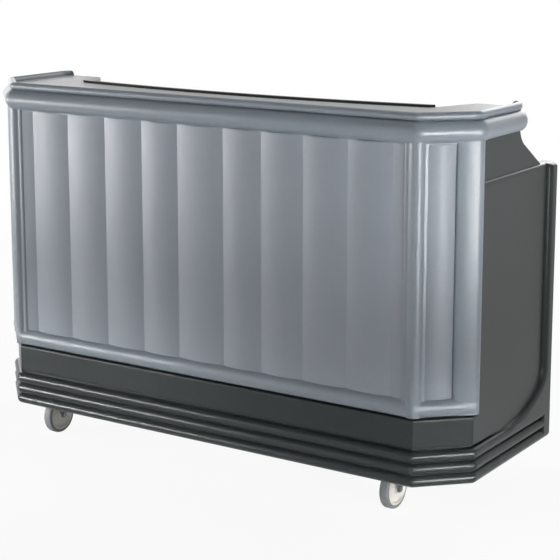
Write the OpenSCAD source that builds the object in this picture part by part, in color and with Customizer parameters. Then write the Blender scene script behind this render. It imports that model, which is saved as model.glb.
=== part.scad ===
// Mobile bar unit: a free-standing serving bar on four swivel casters.
// +X runs along the bar, -Y is the guests' side, +Z is up and the ground is z = 0.
// Offsets named "out" are measured outward from the face of the dark body.

/* [Body] */
// Length of the dark body between its end faces
body_len = 1798; // [1700:1:1950]
// Depth of the dark body from its front face to its rear edge
body_dep = 664; // [650:1:720]
// Height of the rim of the bar top above the ground
top_z = 1219; // [1200:1:1260]
// Leg of each 45 degree front corner
corner_leg = 132; // [120:1:150]
// Depth of the front wall behind the body face
wall_set = 26; // [22:1:32]
// Thickness of the front wall
front_wall_t = 28; // [18:1:36]
// Thickness of the end walls
end_wall_t = 40; // [36:1:50]
// Depth of the upper end walls behind the body face
wing_set = 8; // [4:1:14]
// Drop from the bar top's underside to the ledge on the end walls
ledge_drop = 128; // [105:1:150]
// Width of the raised rear post of each end wall
post_w = 48; // [36:1:60]
// Distance from the rear edge to the front tip of each end wall's foot
foot_len = 325; // [280:1:360]
// Radius of the sweep from the base up to the rear post
foot_r = 438; // [400:1:560]
// Height of the straight rear edge of the wing above its slope
wing_edge_h = 30; // [15:1:45]
// Slope of the wing down to the ledge, in degrees
wing_slope = 31.5; // [25:0.5:40]
// Radius of the hollow between the wing's rear edge and its slope
wing_r = 30; // [15:1:45]

/* [Base] */
// Height of the skirt's lower edge above the ground
skirt_z = 105; // [98:1:112]
// Number of round ribs on the skirt
rib_count = 3; // [2:1:3]
// Height of one rib
rib_h = 37; // [34:1:40]
// Height of a rib's crown over the body face
rib_out = 15; // [10:1:17]
// Width of the flat at the bottom of the groove between two ribs
rib_groove = 2; // [1:0.1:4]
// Thickness of the skirt behind the ribs
skirt_t = 18; // [12:1:20]
// Height of the plain band over the ribs
band_h = 104; // [90:1:120]
// Thickness of the floor panel
floor_t = 30; // [26:1:38]
// Distance from the floor panel's rear edge to the rear of the body
floor_set = 12; // [6:1:30]

/* [Fascia] */
// Height of the fascia frame's upper edge over the bar top's underside
frame_lap = 29; // [26:1:33]
// Height of the dark gap between the plain band and the frame
frame_gap = 9; // [5:1:14]
// Height of the frame's upper rail
rail_top_h = 39; // [36:1:46]
// Height of the frame's lower roll
rail_low_h = 50; // [42:1:60]
// Height of the rolls' crown over the body face
frame_out = 14; // [11:1:20]
// Height of the frame's flat face over the body face
frame_flat = 2; // [0:1:5]
// Width of the flat between a roll and the frame's opening
roll_land = 1.5; // [1:0.1:3]
// Radius of the round columns on the frame's corners
column_r = 20; // [16:1:24]
// Depth of the columns' crown behind the rolls' crown
column_set = 1; // [0.5:0.1:3]
// Length of the frame's return on each end wall
return_len = 30; // [24:1:40]
// Width of the front stiles
stile_w = 37; // [30:1:46]
// Width of a corner's stile on its front side
corner_in_w = 34; // [28:1:40]
// Width of a corner's stile on its end side
corner_end_w = 42; // [34:1:50]
// Width of the middle flute
mid_flute_w = 175; // [150:1:190]
// Width of each other flute
side_flute_w = 150; // [140:1:156]
// Number of flutes on each side of the middle one
side_flutes = 4; // [3:1:4]
// Width of the flute on each corner
corner_flute_w = 88; // [76:1:98]
// Rise of a flute's crown over its edges
flute_rise = 9; // [5:1:14]
// Depth of the flutes' edges behind the body face
flute_set = 6; // [2:1:10]
// Clearance of a flute panel in its opening
panel_gap = 0.5; // [0.3:0.1:1]

/* [Bar top] */
// Overhang of the bar top's roll over the body face
lip_out = 26; // [20:1:34]
// Radius of the bar top's roll
bulge_r = 34; // [31:1:38]
// Depth of the roll's centre below the rim
bulge_drop = 56; // [52:1:60]
// Height of the bar top from its underside to its rim
bar_h = 84; // [78:1:90]
// Radius of the bead along the rim
bead_r = 12.5; // [10:0.5:14]
// Overhang of the bead over the body face
bead_out = 8; // [4:1:14]
// Depth of the counter below the rim
counter_drop = 16; // [10:1:22]
// Thickness of the counter
counter_t = 30; // [22:1:40]
// Width of the apron below the counter
apron_w = 50; // [44:1:60]
// Length of a wing from the body's front face to its rear end
wing_len = 424; // [390:1:440]
// Distance from the body's front face to the middle of the counter's rear edge
bay_front = 200; // [180:1:215]
// Radius of the counter's bowed rear edge
bow_r = 4300; // [3800:10:5200]
// Width of a wing at its front, out to the body's end
wing_w_front = 244; // [220:1:270]
// Width of a wing at its rear end, out to the body's end
wing_w_rear = 161; // [150:1:180]

/* [Work side] */
// Depth of the work deck below the counter
deck_drop = 288; // [275:1:320]
// Thickness of the work deck
deck_t = 25; // [18:1:32]
// Gap between two of the deck's panels
deck_gap = 0.4; // [0.2:0.1:0.8]
// Distance from the deck's rear edge to the rear of the body
deck_set = 120; // [116:1:126]
// Thickness of the backsplash
splash_t = 18; // [12:1:22]
// Rise of the backsplash's upper edge over the counter
splash_lip = 7; // [3:1:10]
// Clearance between the backsplash and the bar top
splash_gap = 0.5; // [0.3:0.1:0.9]
// Gap between the ice bin's jacket and each storage divider
divider_gap = 37.5; // [28:0.5:50]
// Thickness of the dividers and shelves
board_t = 18; // [12:1:24]
// Distance from a shelf's or divider's rear edge to the deck's rear edge
board_set = 6; // [2:1:20]
// Height of the shelves above the floor panel
shelf_up = 300; // [240:1:400]
// Width and height of the cleats that carry the shelves
cleat_s = 16; // [12:1:24]
// Clearance at each end of a shelf
shelf_gap = 0.5; // [0.3:0.1:0.9]

/* [Ice bin] */
// Inside width of the bin along the bar
bin_w = 600; // [560:1:620]
// Gap between the bin's flange and the middle of the backsplash
bin_front = 23.5; // [20:0.5:45]
// Depth of the bin below the deck
bin_d = 380; // [320:1:420]
// Corner radius of the bin
bin_r = 30; // [20:1:50]
// Sheet thickness of the bin
bin_t = 2; // [1.5:0.1:3]
// Width of the bin's flange
bin_flange = 16; // [14:1:17]
// Clearance of the bin in the deck and in its jacket
bin_gap = 0.5; // [0.3:0.1:0.9]
// Thickness of the insulated jacket
jacket_t = 22; // [16:1:25]
// Distance from the bin's flange to the deck's rear edge
bin_edge = 4; // [2:1:8]
// Thickness of a sliding lid
lid_t = 6; // [4:0.5:9]
// Clearance of a lid in its groove
lid_gap = 0.4; // [0.3:0.1:0.6]
// Thickness of the tracks' fins
fin_t = 2; // [1.5:0.1:3]
// Thickness of the tracks' outer walls
track_wall = 4; // [3:0.5:5]
// Overlap of the two lids at the middle of the bin
lid_lap = 24; // [16:1:40]
// Diameter of the finger dish in a lid
dish_d = 60; // [40:1:80]
// Depth of the finger dish in a lid
dish_dep = 3; // [1.5:0.1:3.5]
// Distance from a finger dish's centre to its lid's leading edge
dish_in = 75; // [65:1:100]

/* [Drain] */
// Outer diameter of the drain tube
drain_d = 24; // [20:1:28]
// Bore of the drain
drain_bore = 14; // [10:1:15]
// Diameter of the drain's flange
drain_flange_d = 60; // [50:1:70]
// Length of the drain tube below the jacket
drain_tail = 22; // [18:1:30]
// Thickness of the drain's nut
drain_nut_h = 10; // [8:1:14]
// Diameter of the valve body
valve_d = 36; // [32:1:44]
// Height of the valve body
valve_h = 44; // [38:1:56]
// Diameter of the valve's ball
ball_d = 22; // [20:1:24]
// Diameter of the valve's stem
stem_d = 8; // [7:0.5:10]
// Length of the stem's boss on the valve body
boss_len = 8; // [5:1:12]
// Length of the valve's lever
lever_len = 70; // [50:1:90]
// Width of the valve's lever
lever_w = 14; // [12:1:20]
// Thickness of the valve's lever
lever_t = 3; // [2:0.5:5]
// Outer diameter of the spout
spout_d = 20; // [17:1:26]
// Length of the spout
spout_len = 34; // [24:1:50]
// Diameter of the hose hole through the floor under the spout
hose_hole_d = 60; // [40:1:90]

/* [Deck fittings] */
// Inside diameter of a bottle cup
cup_d = 96; // [84:1:100]
// Depth of a bottle cup below the deck
cup_depth = 150; // [110:1:180]
// Wall of a bottle cup
cup_wall = 2; // [1.5:0.1:3]
// Width of a bottle cup's flange over the deck's slot
cup_flange = 6; // [4:0.5:7]
// Gap between the flanges of two cups in a row
cup_join = 1; // [0.5:0.1:2]
// Spacing of the bottle cups along the bar
cup_pitch_x = 136; // [124:1:140]
// Spacing of the bottle cups across the bar
cup_pitch_y = 120; // [117:1:122]
// Least distance from a cup's centre to the divider and to the end wall
cup_side = 92; // [80:1:94]
// Least gap between a cup's flange and the backsplash
cup_front = 3; // [1:0.5:3]
// Distance from the rear row of cups to the deck's rear edge
cup_in = 68; // [64:1:72]
// Distance from the cutting board to the divider's line and to the end wall
cutting_side = 58.5; // [54:0.5:90]
// Gap between the cutting board's outer corner and the backsplash
cutting_front = 23; // [18:1:60]
// Thickness of the cutting board
cutting_t = 18; // [12:1:24]
// Depth of the cutting board's seat in the deck
cutting_seat = 9; // [5:1:12]
// Clearance of the cutting board in its seat
cutting_gap = 0.8; // [0.4:0.1:0.9]
// Distance from the cutting board to the deck's rear edge
cutting_in = 22; // [16:1:26]

/* [Speed rail] */
// Length of the speed rail
rail_len = 1060; // [800:1:1200]
// Depth of the speed rail across the bar
rail_dep = 98; // [84:1:102]
// Height of the speed rail
rail_h = 120; // [90:1:140]
// Sheet thickness of the speed rail
rail_t = 2; // [1.5:0.1:3]
// Distance from the deck's upper face down to the speed rail's rim
rail_drop = 60; // [45:1:90]
// Height of the speed rail's front wall as a share of its height
rail_front_share = 0.62; // [0.4:0.01:0.8]
// Thickness of the speed rail's hangers
hanger_t = 5; // [3:0.5:8]
// Gap from a hanger to the ice bin's jacket and to the divider
hanger_side = 3; // [1:0.5:6]
// Diameter of the hanger screws
screw_d = 5; // [4:0.5:6]

/* [Casters] */
// Diameter of the wheels
wheel_d = 127; // [123:1:130]
// Width of the tyres
wheel_w = 32; // [28:1:38]
// Thickness of the tyres
tyre_t = 10.5; // [8:0.5:14]
// Radius of the tyres' shoulders
tyre_r = 5; // [3:0.5:7]
// Distance from a caster's swivel axis to its axle
trail = 38; // [34:1:42]
// Diameter of the axles
axle_d = 10; // [8:0.5:12]
// Radial clearance of a turning fit
turn_gap = 0.05; // [0.02:0.01:0.09]
// Radial clearance of a bolt in its hole
bolt_gap = 0.2; // [0.1:0.05:0.4]
// Length of a hub along its axle
hub_w = 38; // [36:1:42]
// Diameter of a hub's boss
boss_d = 26; // [22:1:32]
// Thickness of a hub's web
web_t = 20; // [12:1:24]
// Thickness of a hub's rim
hub_rim = 8; // [5:1:12]
// Gap between a hub and each fork leg
leg_gap = 1; // [0.5:0.1:1.4]
// Thickness of the fork legs
leg_t = 4; // [3:0.5:6]
// Radius of a fork leg's lower end
leg_r = 12; // [10:0.5:15]
// Width of a fork leg at the crown
leg_top_w = 64; // [50:1:70]
// Gap between a wheel and its fork's crown
wheel_gap = 6; // [4:0.5:9]
// Thickness of a fork's crown
crown_t = 6; // [4:0.5:8]
// Radius of a fork's crown about the swivel axis
crown_r = 30; // [28:1:34]
// Height of a swivel race
race_h = 11.7; // [10:0.1:14]
// Gap between a swivel race and its fork
swivel_gap = 0.3; // [0.2:0.1:0.6]
// Diameter of the king pins
king_d = 16; // [12:1:18]
// Outer diameter of a swivel race
race_d = 56; // [48:1:60]
// Thickness of a caster's top plate
plate_t = 6; // [4:0.5:8]
// Size of a caster's top plate along the bar
plate_w = 104; // [100:1:116]
// Size of a caster's top plate across the bar
plate_l = 92; // [90:1:104]
// Distance from a plate's edges to its bolts
bolt_in = 13; // [11:0.5:14]
// Diameter of the caster bolts
bolt_d = 8; // [6:0.5:9]
// Length of a caster bolt's thread in the floor panel
bolt_len = 20; // [14:1:24]
// Width of a caster bolt's head across its corners
bolt_head_d = 15; // [12:0.5:17]
// Height of a caster bolt's head
bolt_head_h = 5; // [4:0.5:6]
// Distance from the body's ends to the swivel axes
caster_in = 234; // [200:1:280]
// Distance from the body's front face to the front swivel axes
caster_front = 111; // [109:1:140]
// Distance from the body's rear edge to the rear swivel axes
caster_rear = 146; // [145:1:170]

/* [Brakes] */
// Distance from the tyre to a brake pedal's pivot
brake_off = 20; // [18:0.5:23]
// Angle of a pedal's pivot above the axle, in degrees
brake_ang = 41; // [38:0.5:44]
// Diameter of a pedal's pivot
brake_pin_d = 6; // [5:0.5:7]
// Radius of a pedal's eye
brake_eye_r = 7; // [6:0.5:8]
// Length of a pedal's arm
pedal_len = 40; // [30:1:42]
// Thickness of a pedal's arm
pedal_t = 6; // [4:0.5:7]
// Width of a pedal
pedal_w = 36; // [30:1:38]
// Upward tilt of a released pedal, in degrees
pedal_tilt = 12; // [8:1:16]
// Length of a pedal's brake toe
toe_len = 22; // [18:1:24]

/* [Hidden] */
$fn = 64;
fine_fn = 240;
bow_fn = 900;
over = 1;
reach = 2200;
corner_tan = tan(22.5);
half_len = body_len / 2;
front_y = (lip_out - body_dep) / 2;
rear_y = front_y + body_dep;
flat_x = half_len - corner_leg;
corner_y = front_y + corner_leg;
return_y = corner_y + return_len;
chamfer_len = corner_leg * sqrt(2);
chamfer_d = (flat_x - front_y) / sqrt(2);

skirt_top = skirt_z + rib_count * rib_h;
frame_z = skirt_top + band_h;
crown_z = wheel_d + wheel_gap;
race_z = crown_z + crown_t + swivel_gap;
plate_z = race_z + race_h;
floor_z = plate_z + plate_t;
floor_top = floor_z + floor_t;
bar_z = top_z - bar_h;
counter_z = top_z - counter_drop;
frame_top = bar_z + frame_lap;
ledge_z = bar_z - ledge_drop;
deck_z = counter_z - deck_drop;
bulge_z = top_z - bulge_drop;

wall_in = wall_set + front_wall_t;
inner_x = half_len - end_wall_t;
wing_y = front_y + wing_len;
bay_y = front_y + bay_front;
bow_y = bay_y + bow_r;
bay_w_front = body_len - 2 * wing_w_front;
bay_w_rear = body_len - 2 * wing_w_rear;
deck_y = rear_y - deck_set;
deck_low = deck_z - deck_t;
board_y = deck_y - board_set;
shelf_z = floor_top + shelf_up;

pocket_x = flat_x - stile_w;
pocket_z0 = frame_z + rail_low_h;
pocket_z1 = frame_top - rail_top_h;
roll_low_z = frame_z + rail_low_h / 2 - roll_land;
// Places along a corner, from its front edge to its end edge, seen from its middle
corner_s0 = corner_in_w - chamfer_len / 2;
corner_s1 = chamfer_len / 2 - corner_end_w;

splash_y = bay_y + splash_gap + splash_t;
bin_l = deck_y - bin_edge - splash_y - bin_front - 2 * (bin_flange + bin_t);
bin_y = deck_y - bin_edge - bin_flange - bin_t - bin_l / 2;
bin_floor = deck_z - bin_d;
jacket_low = bin_floor - bin_t - bin_gap - jacket_t;
groove_h = lid_t + 2 * lid_gap;
track_z = deck_z + bin_t;
track_half = bin_l / 2 + bin_t + bin_flange;
track_h = 3 * fin_t + 2 * groove_h;
lid_half = track_half - track_wall - lid_gap;
lid_end = bin_w / 2 + bin_flange / 2;

divider_x = bin_w / 2 + bin_t + bin_gap + jacket_t + divider_gap;
deck_joint = divider_x + board_t / 2;
tail_z = jacket_low - drain_tail;
valve_z = tail_z - valve_h;
valve_mid = tail_z - valve_h / 2;

cup_r = cup_d / 2 + cup_wall;
cup_x = (divider_x + inner_x) / 2;
cup_y = deck_y - cup_in;
cup_cols = 1 + floor((inner_x - divider_x - board_t - 2 * cup_side) / cup_pitch_x);
cup_room = cup_y - cup_r - cup_flange - cup_front - splash_at(cup_x + cup_cols / 2 * cup_pitch_x);
cup_rows = 1 + floor(cup_room / cup_pitch_y);
hanger_w = divider_gap - 2 * hanger_side;
hanger_x = divider_x - divider_gap / 2;
rail_y = deck_y + hanger_t;
rail_top = deck_z - rail_drop;
rail_z = rail_top - rail_h;

caster_x = half_len - caster_in;
axle_z = wheel_d / 2;
leg_x = hub_w / 2 + leg_gap;
brake_y = trail + (wheel_d / 2 + brake_off) * cos(brake_ang);
brake_z = axle_z + (wheel_d / 2 + brake_off) * sin(brake_ang);

body_dark = "#454b4a";
trim_gray = "#9aa1a8";
panel_gray = "#a6abb2";
steel = "#c2c5c8";
zinc = "#a9adb0";
hub_cream = "#d6d2c8";
tyre_gray = "#74787b";
deck_gray = "#55595a";

// The right corner's two points in plan, moved outward by out
function corners(out) = [
    [flat_x + out * corner_tan, front_y - out],
    [half_len + out, corner_y - out * corner_tan]
];

// The body's outline in plan, moved outward by out and closed at the line y = y_end
function outline(out, y_end) = [
    [-half_len - out, y_end],
    for (i = [1, 0]) [-corners(out)[i][0], corners(out)[i][1]],
    each corners(out),
    [half_len + out, y_end]
];

// Place in Y of the backsplash's rear face, at the distance x from the middle of the bar
function splash_at(x) = bow_y - sqrt(pow(bow_r - splash_gap - splash_t, 2) - pow(x, 2));

// A plain block on the body's outline
module block(out, z0, z1, y_end) {
    translate([0, 0, z0])
        linear_extrude(z1 - z0)
            polygon(outline(out, y_end));
}

// A profile of outward offset and height, run along the side that faces the angle turn
module run(turn, dist) {
    rotate([0, 0, turn])
        translate([0, -dist, 0])
            rotate([90, 0, -90])
                linear_extrude(2 * reach, center = true)
                    children();
}

// A block whose front, corners and ends all carry the same edge profile
module moulded(y_end) {
    intersection() {
        intersection() {
            run(0, -front_y) children();
            translate([-reach, -reach, -over]) cube([2 * reach, reach + y_end, 2 * reach]);
        }
        intersection() {
            run(45, chamfer_d) children();
            run(-45, chamfer_d) children();
        }
        intersection() {
            run(90, half_len) children();
            run(-90, half_len) children();
        }
    }
}

// A profile's solid part, from far inside out to the given offset
module filled(out, z0, z1) {
    translate([-reach, z0]) square([reach + out, z1 - z0]);
}

// A circle whose crown stands rise over the offset out and whose chord there is h
module roll(out, z_mid, h, rise) {
    r = (pow(h / 2, 2) + pow(rise, 2)) / (2 * rise);
    translate([out + rise - r, z_mid]) circle(r, $fn = fine_fn);
}

// A half-round moulding of height h and crown rise on the offset out, with a root inside it
module round_edge(out, z0, h, rise) {
    r = (pow(h / 2, 2) + pow(rise, 2)) / (2 * rise);
    intersection() {
        translate([out + rise - r, z0 + h / 2]) circle(r, $fn = fine_fn);
        translate([out - rise, z0]) square([2 * rise, h]);
    }
    translate([out - rise, z0]) square([rise, h]);
}

// A plate across X, drawn in Y and Z
module slab(x0, t) {
    translate([x0, 0, 0])
        rotate([90, 0, 90])
            linear_extrude(t)
                children();
}

module box(x0, x1, y0, y1, z0, z1) {
    translate([x0, y0, z0]) cube([x1 - x0, y1 - y0, z1 - z0]);
}

// A rectangle with round corners, centred
module round_rect(w, l, r) {
    square([w - 2 * r, l], center = true);
    square([w, l - 2 * r], center = true);
    for (sx = [-1, 1], sy = [-1, 1]) {
        translate([sx * (w / 2 - r), sy * (l / 2 - r)]) circle(r);
    }
}

module tube(d_out, d_in, z0, h) {
    difference() {
        translate([0, 0, z0]) cylinder(d = d_out, h = h);
        translate([0, 0, z0 - over]) cylinder(d = d_in, h = h + 2 * over);
    }
}

// Base and walls
module bumper_skirt() {
    low = skirt_z - over;
    high = skirt_top + over;
    color(body_dark) intersection() {
        difference() {
            union() {
                moulded(rear_y) {
                    filled(0, low, high);
                    for (i = [0 : rib_count - 1]) {
                        roll(0, skirt_z + (i + 1 / 2) * rib_h, rib_h - rib_groove, rib_out);
                    }
                }
                for (side = [-1, 1]) mirror([side < 0 ? 1 : 0, 0, 0]) {
                    box(half_len - 2 * skirt_t, half_len + rib_out, rear_y - post_w, rear_y, low, high);
                }
            }
            block(-skirt_t, low - over, high + over, rear_y + over);
        }
        box(-reach, reach, -reach, reach, skirt_z, skirt_top);
    }
}

module plinth_band() {
    color(body_dark) intersection() {
        difference() {
            block(0, skirt_top, frame_z - frame_gap, rear_y);
            block(-wall_set, skirt_top - over, frame_z + over, rear_y + over);
        }
        box(-reach, reach, -reach, corner_y, 0, reach);
    }
}

module base_floor() {
    color(deck_gray) difference() {
        block(-skirt_t, floor_z, floor_top, rear_y - floor_set);
        each_caster() each_bolt() {
            translate([0, 0, floor_z - over])
                cylinder(d = bolt_d + 2 * bolt_gap, h = bolt_len + bolt_gap + over);
        }
        translate([0, bin_y, floor_z - over]) cylinder(d = hose_hole_d, h = floor_t + 2 * over);
    }
}

// The front wall with its corners, between two heights
module wall_ring(z0, z1) {
    intersection() {
        difference() {
            block(-wall_set, z0, z1, rear_y);
            block(-wall_in, z0 - over, z1 + over, rear_y + over);
        }
        box(-inner_x, inner_x, -reach, return_y, 0, reach);
    }
}

module front_wall() {
    color(body_dark) wall_ring(floor_top, bar_z);
}

// Outline of an end wall's upper wing in Y and Z, down to the ledge
module wing_shape() {
    top = bar_z - ledge_z;
    drop = top - wing_edge_h;
    back = wing_y - return_y;
    tip = back + drop / tan(wing_slope);
    turn = 90 - wing_slope;
    cut = wing_r * tan(turn / 2);
    difference() {
        polygon([
            [0, -over], [tip, -over], [tip, 0],
            [back + cut * cos(wing_slope), drop - cut * sin(wing_slope)],
            [back, drop + cut], [back, top], [0, top]
        ]);
        translate([back + wing_r, drop + cut]) circle(wing_r);
    }
}

module end_wall() {
    slab(inner_x, end_wall_t) {
        translate([return_y, skirt_top]) square([rear_y - return_y, ledge_z - skirt_top]);
        translate([corner_y, skirt_top]) square([rear_y - corner_y, band_h - frame_gap]);
    }
    slab(inner_x, end_wall_t - wing_set) {
        translate([return_y, ledge_z]) wing_shape();
    }
    // Tongue that stands on the floor panel inside the skirt
    slab(inner_x, end_wall_t - skirt_t) {
        translate([return_y, floor_top])
            square([rear_y - floor_set - return_y, skirt_top - floor_top + over]);
    }
    // Raised rear post and the foot that sweeps down from it
    slab(half_len - over, rib_out + over) {
        translate([rear_y - post_w, skirt_top]) square([post_w, ledge_z - skirt_top]);
        difference() {
            translate([rear_y - foot_len, skirt_top]) square([foot_len - post_w, foot_r]);
            translate([rear_y - foot_len, skirt_top + foot_r]) circle(foot_r, $fn = fine_fn);
        }
    }
}

module left_end_wall() {
    color(body_dark) mirror([1, 0, 0]) end_wall();
}

module right_end_wall() {
    color(body_dark) end_wall();
}

// Fascia
module fascia_frame() {
    color(trim_gray) intersection() {
        difference() {
            union() {
                moulded(rear_y) {
                    filled(frame_flat, frame_z, frame_top);
                    intersection() {
                        union() {
                            roll(frame_flat, roll_low_z, rail_low_h, frame_out - frame_flat);
                            bulge();
                        }
                        filled(lip_out + over, frame_z, frame_top);
                    }
                }
                for (side = [-1, 1], at = corners(frame_out - column_set - column_r)) {
                    translate([side * at[0], at[1], roll_low_z])
                        cylinder(r = column_r, h = pocket_z1 + rail_top_h / 2 - roll_low_z);
                }
            }
            block(-wall_set, frame_z - over, frame_top + over, rear_y + over);
            box(-pocket_x, pocket_x, front_y - lip_out - over, front_y + wall_set + over, pocket_z0,
                pocket_z1);
            for (side = [-1, 1]) mirror([side < 0 ? 1 : 0, 0, 0]) {
                rotate([0, 0, 45])
                    box(corner_mid() + corner_s0, corner_mid() + corner_s1, -chamfer_d - lip_out - over,
                        -chamfer_d + wall_set + over, pocket_z0, pocket_z1);
            }
        }
        box(-reach, reach, -reach, return_y, 0, reach);
    }
}

// Place of a corner's middle along its own face
function corner_mid() = ((flat_x + half_len) / 2 + (front_y + corner_y) / 2) / sqrt(2);

// Plan of one flute, its edges on the line y = 0 and its crown towards -Y
module flute(x0, w) {
    translate([x0, 0]) rotate([0, 0, -90]) round_edge(0, 0, w, flute_rise);
}

module flute_panel() {
    half = pocket_x - panel_gap;
    color(panel_gray)
        translate([0, front_y + flute_set, pocket_z0 + panel_gap])
            linear_extrude(pocket_z1 - pocket_z0 - 2 * panel_gap) {
                translate([-half, 0]) square([2 * half, wall_set - flute_set]);
                flute(-mid_flute_w / 2, mid_flute_w);
                for (side = [-1, 1]) mirror([side < 0 ? 1 : 0, 0]) {
                    intersection() {
                        for (i = [0 : side_flutes]) {
                            flute(mid_flute_w / 2 + i * side_flute_w, side_flute_w);
                        }
                        translate([0, -flute_rise]) square([half, flute_rise]);
                    }
                }
            }
}

module corner_flute() {
    s0 = corner_s0 + panel_gap;
    s1 = corner_s1 - panel_gap;
    rotate([0, 0, 45])
        translate([corner_mid(), -chamfer_d + flute_set, pocket_z0 + panel_gap])
            linear_extrude(pocket_z1 - pocket_z0 - 2 * panel_gap) {
                translate([s0, 0]) square([s1 - s0, wall_set - flute_set]);
                flute(s0, corner_flute_w);
            }
}

module left_corner_flute() {
    color(panel_gray) mirror([1, 0, 0]) corner_flute();
}

module right_corner_flute() {
    color(panel_gray) corner_flute();
}

// Bar top
// The bartender's bay in plan, behind the counter's bowed rear edge
module bay_shape(gap) {
    w0 = bay_w_front / 2 - gap;
    w1 = bay_w_rear / 2 - gap;
    intersection() {
        translate([0, bow_y]) circle(bow_r - gap, $fn = bow_fn);
        polygon([
            [-w0, bay_y], [w0, bay_y], [w1, wing_y], [w1, rear_y],
            [-w1, rear_y], [-w1, wing_y]
        ]);
    }
}

// The big roll under the rim, in offset and height
module bulge() {
    translate([lip_out - bulge_r, bulge_z]) circle(bulge_r, $fn = fine_fn);
}

module bar_top() {
    rim_in = 2 * bead_r - bead_out;
    color(trim_gray) difference() {
        moulded(wing_y) {
            filled(bead_out - bead_r, bar_z, top_z);
            translate([bead_out - bead_r, top_z - bead_r]) circle(bead_r);
            intersection() {
                bulge();
                translate([-bulge_r, bar_z]) square([bulge_r + lip_out, bar_h]);
            }
        }
        block(-rim_in, counter_z, top_z + over, rear_y);
        block(-apron_w, bar_z - over, counter_z - counter_t, wing_y + over);
        // Seat over the fascia frame's upper roll
        intersection() {
            difference() {
                block(lip_out + over, bar_z - over, frame_top, rear_y);
                block(-wall_set, bar_z - 2 * over, frame_top + over, rear_y + over);
            }
            box(-reach, reach, -reach, return_y, 0, reach);
        }
        translate([0, 0, bar_z - over]) linear_extrude(bar_h + 2 * over) bay_shape(0);
    }
}

module backsplash() {
    color(body_dark) intersection() {
        translate([0, bow_y, 0])
            tube(2 * (bow_r - splash_gap), 2 * (bow_r - splash_gap - splash_t), deck_z,
                 counter_z + splash_lip - deck_z, $fn = bow_fn);
        union() {
            box(-inner_x, inner_x, front_y, rear_y, deck_z, bar_z);
            translate([0, 0, deck_z])
                linear_extrude(counter_z + splash_lip - deck_z) bay_shape(splash_gap);
        }
    }
}

// Work side
// A level panel inside the front and end walls, back to the line y = y_end
module inside(z0, z1, y_end) {
    difference() {
        block(-end_wall_t, z0, z1, y_end);
        wall_ring(z0 - over, z1 + over);
    }
}

// The part of the deck between two places along the bar
module deck_panel(x0, x1) {
    intersection() {
        inside(deck_low, deck_z, deck_y);
        box(x0, x1, -reach, reach, 0, reach);
    }
}

// The deck's three panels meet over the middle of the dividers
module work_deck() {
    half = deck_joint - deck_gap / 2;
    color(deck_gray) difference() {
        deck_panel(-half, half);
        translate([0, bin_y, deck_low - over])
            linear_extrude(deck_t + 2 * over)
                round_rect(bin_w + 2 * (bin_t + bin_gap), bin_l + 2 * (bin_t + bin_gap),
                           bin_r + bin_t + bin_gap);
    }
}

// One slot takes a whole row of cups
module left_deck() {
    half_slot = (cup_cols - 1) / 2 * cup_pitch_x + cup_r + bin_gap;
    color(deck_gray) difference() {
        deck_panel(-reach, -deck_joint - deck_gap / 2);
        for (row = [0 : cup_rows - 1]) translate([-cup_x, cup_y - row * cup_pitch_y, 0])
            box(-half_slot, half_slot, -cup_r - bin_gap, cup_r + bin_gap, deck_low - over, deck_z + over);
    }
}

module right_deck() {
    color(deck_gray) difference() {
        deck_panel(deck_joint + deck_gap / 2, reach);
        cutting_block(cutting_gap, deck_z - cutting_seat, deck_z + over);
    }
}

module divider(side) {
    mirror([side < 0 ? 1 : 0, 0, 0])
        box(divider_x, divider_x + board_t, front_y + wall_in, board_y, floor_top, deck_low);
}

module left_divider() {
    color(body_dark) divider(-1);
}

module right_divider() {
    color(body_dark) divider(1);
}

// Depth in Y of the storage bays at an end wall, clear of the corner's wall
function bay_wall_y() = front_y + wall_in + corner_leg;

module shelf(side) {
    mirror([side < 0 ? 1 : 0, 0, 0]) intersection() {
        inside(shelf_z, shelf_z + board_t, board_y);
        box(divider_x + board_t + shelf_gap, inner_x - shelf_gap, front_y, board_y, 0, reach);
    }
}

module left_shelf() {
    color(body_dark) shelf(-1);
}

module right_shelf() {
    color(body_dark) shelf(1);
}

module shelf_cleats() {
    color(zinc) for (side = [-1, 1]) mirror([side < 0 ? 1 : 0, 0, 0]) {
        for (x0 = [divider_x + board_t, inner_x - cleat_s]) {
            box(x0, x0 + cleat_s, bay_wall_y(), board_y, shelf_z - cleat_s, shelf_z);
        }
    }
}

// Ice bin
module ice_bin() {
    color(steel) translate([0, bin_y, 0]) difference() {
        union() {
            translate([0, 0, bin_floor - bin_t])
                linear_extrude(bin_d + bin_t)
                    round_rect(bin_w + 2 * bin_t, bin_l + 2 * bin_t, bin_r + bin_t);
            translate([0, 0, deck_z])
                linear_extrude(bin_t)
                    round_rect(bin_w + 2 * (bin_t + bin_flange), bin_l + 2 * (bin_t + bin_flange),
                               bin_r + bin_t + bin_flange);
        }
        translate([0, 0, bin_floor]) linear_extrude(bin_d + over) round_rect(bin_w, bin_l, bin_r);
        translate([0, 0, bin_floor - bin_t - over])
            cylinder(d = drain_d + 2 * bin_gap, h = bin_t + 2 * over);
    }
}

module ice_bin_jacket() {
    inner = bin_t + bin_gap;
    wall = inner + jacket_t;
    color("#8b8f8c") translate([0, bin_y, 0]) difference() {
        translate([0, 0, jacket_low])
            linear_extrude(deck_low - jacket_low)
                round_rect(bin_w + 2 * wall, bin_l + 2 * wall, bin_r + wall);
        translate([0, 0, jacket_low + jacket_t])
            linear_extrude(bin_d)
                round_rect(bin_w + 2 * inner, bin_l + 2 * inner, bin_r + inner);
        translate([0, 0, jacket_low - over])
            cylinder(d = drain_d + 2 * bin_gap, h = jacket_t + 2 * over);
    }
}

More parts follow.
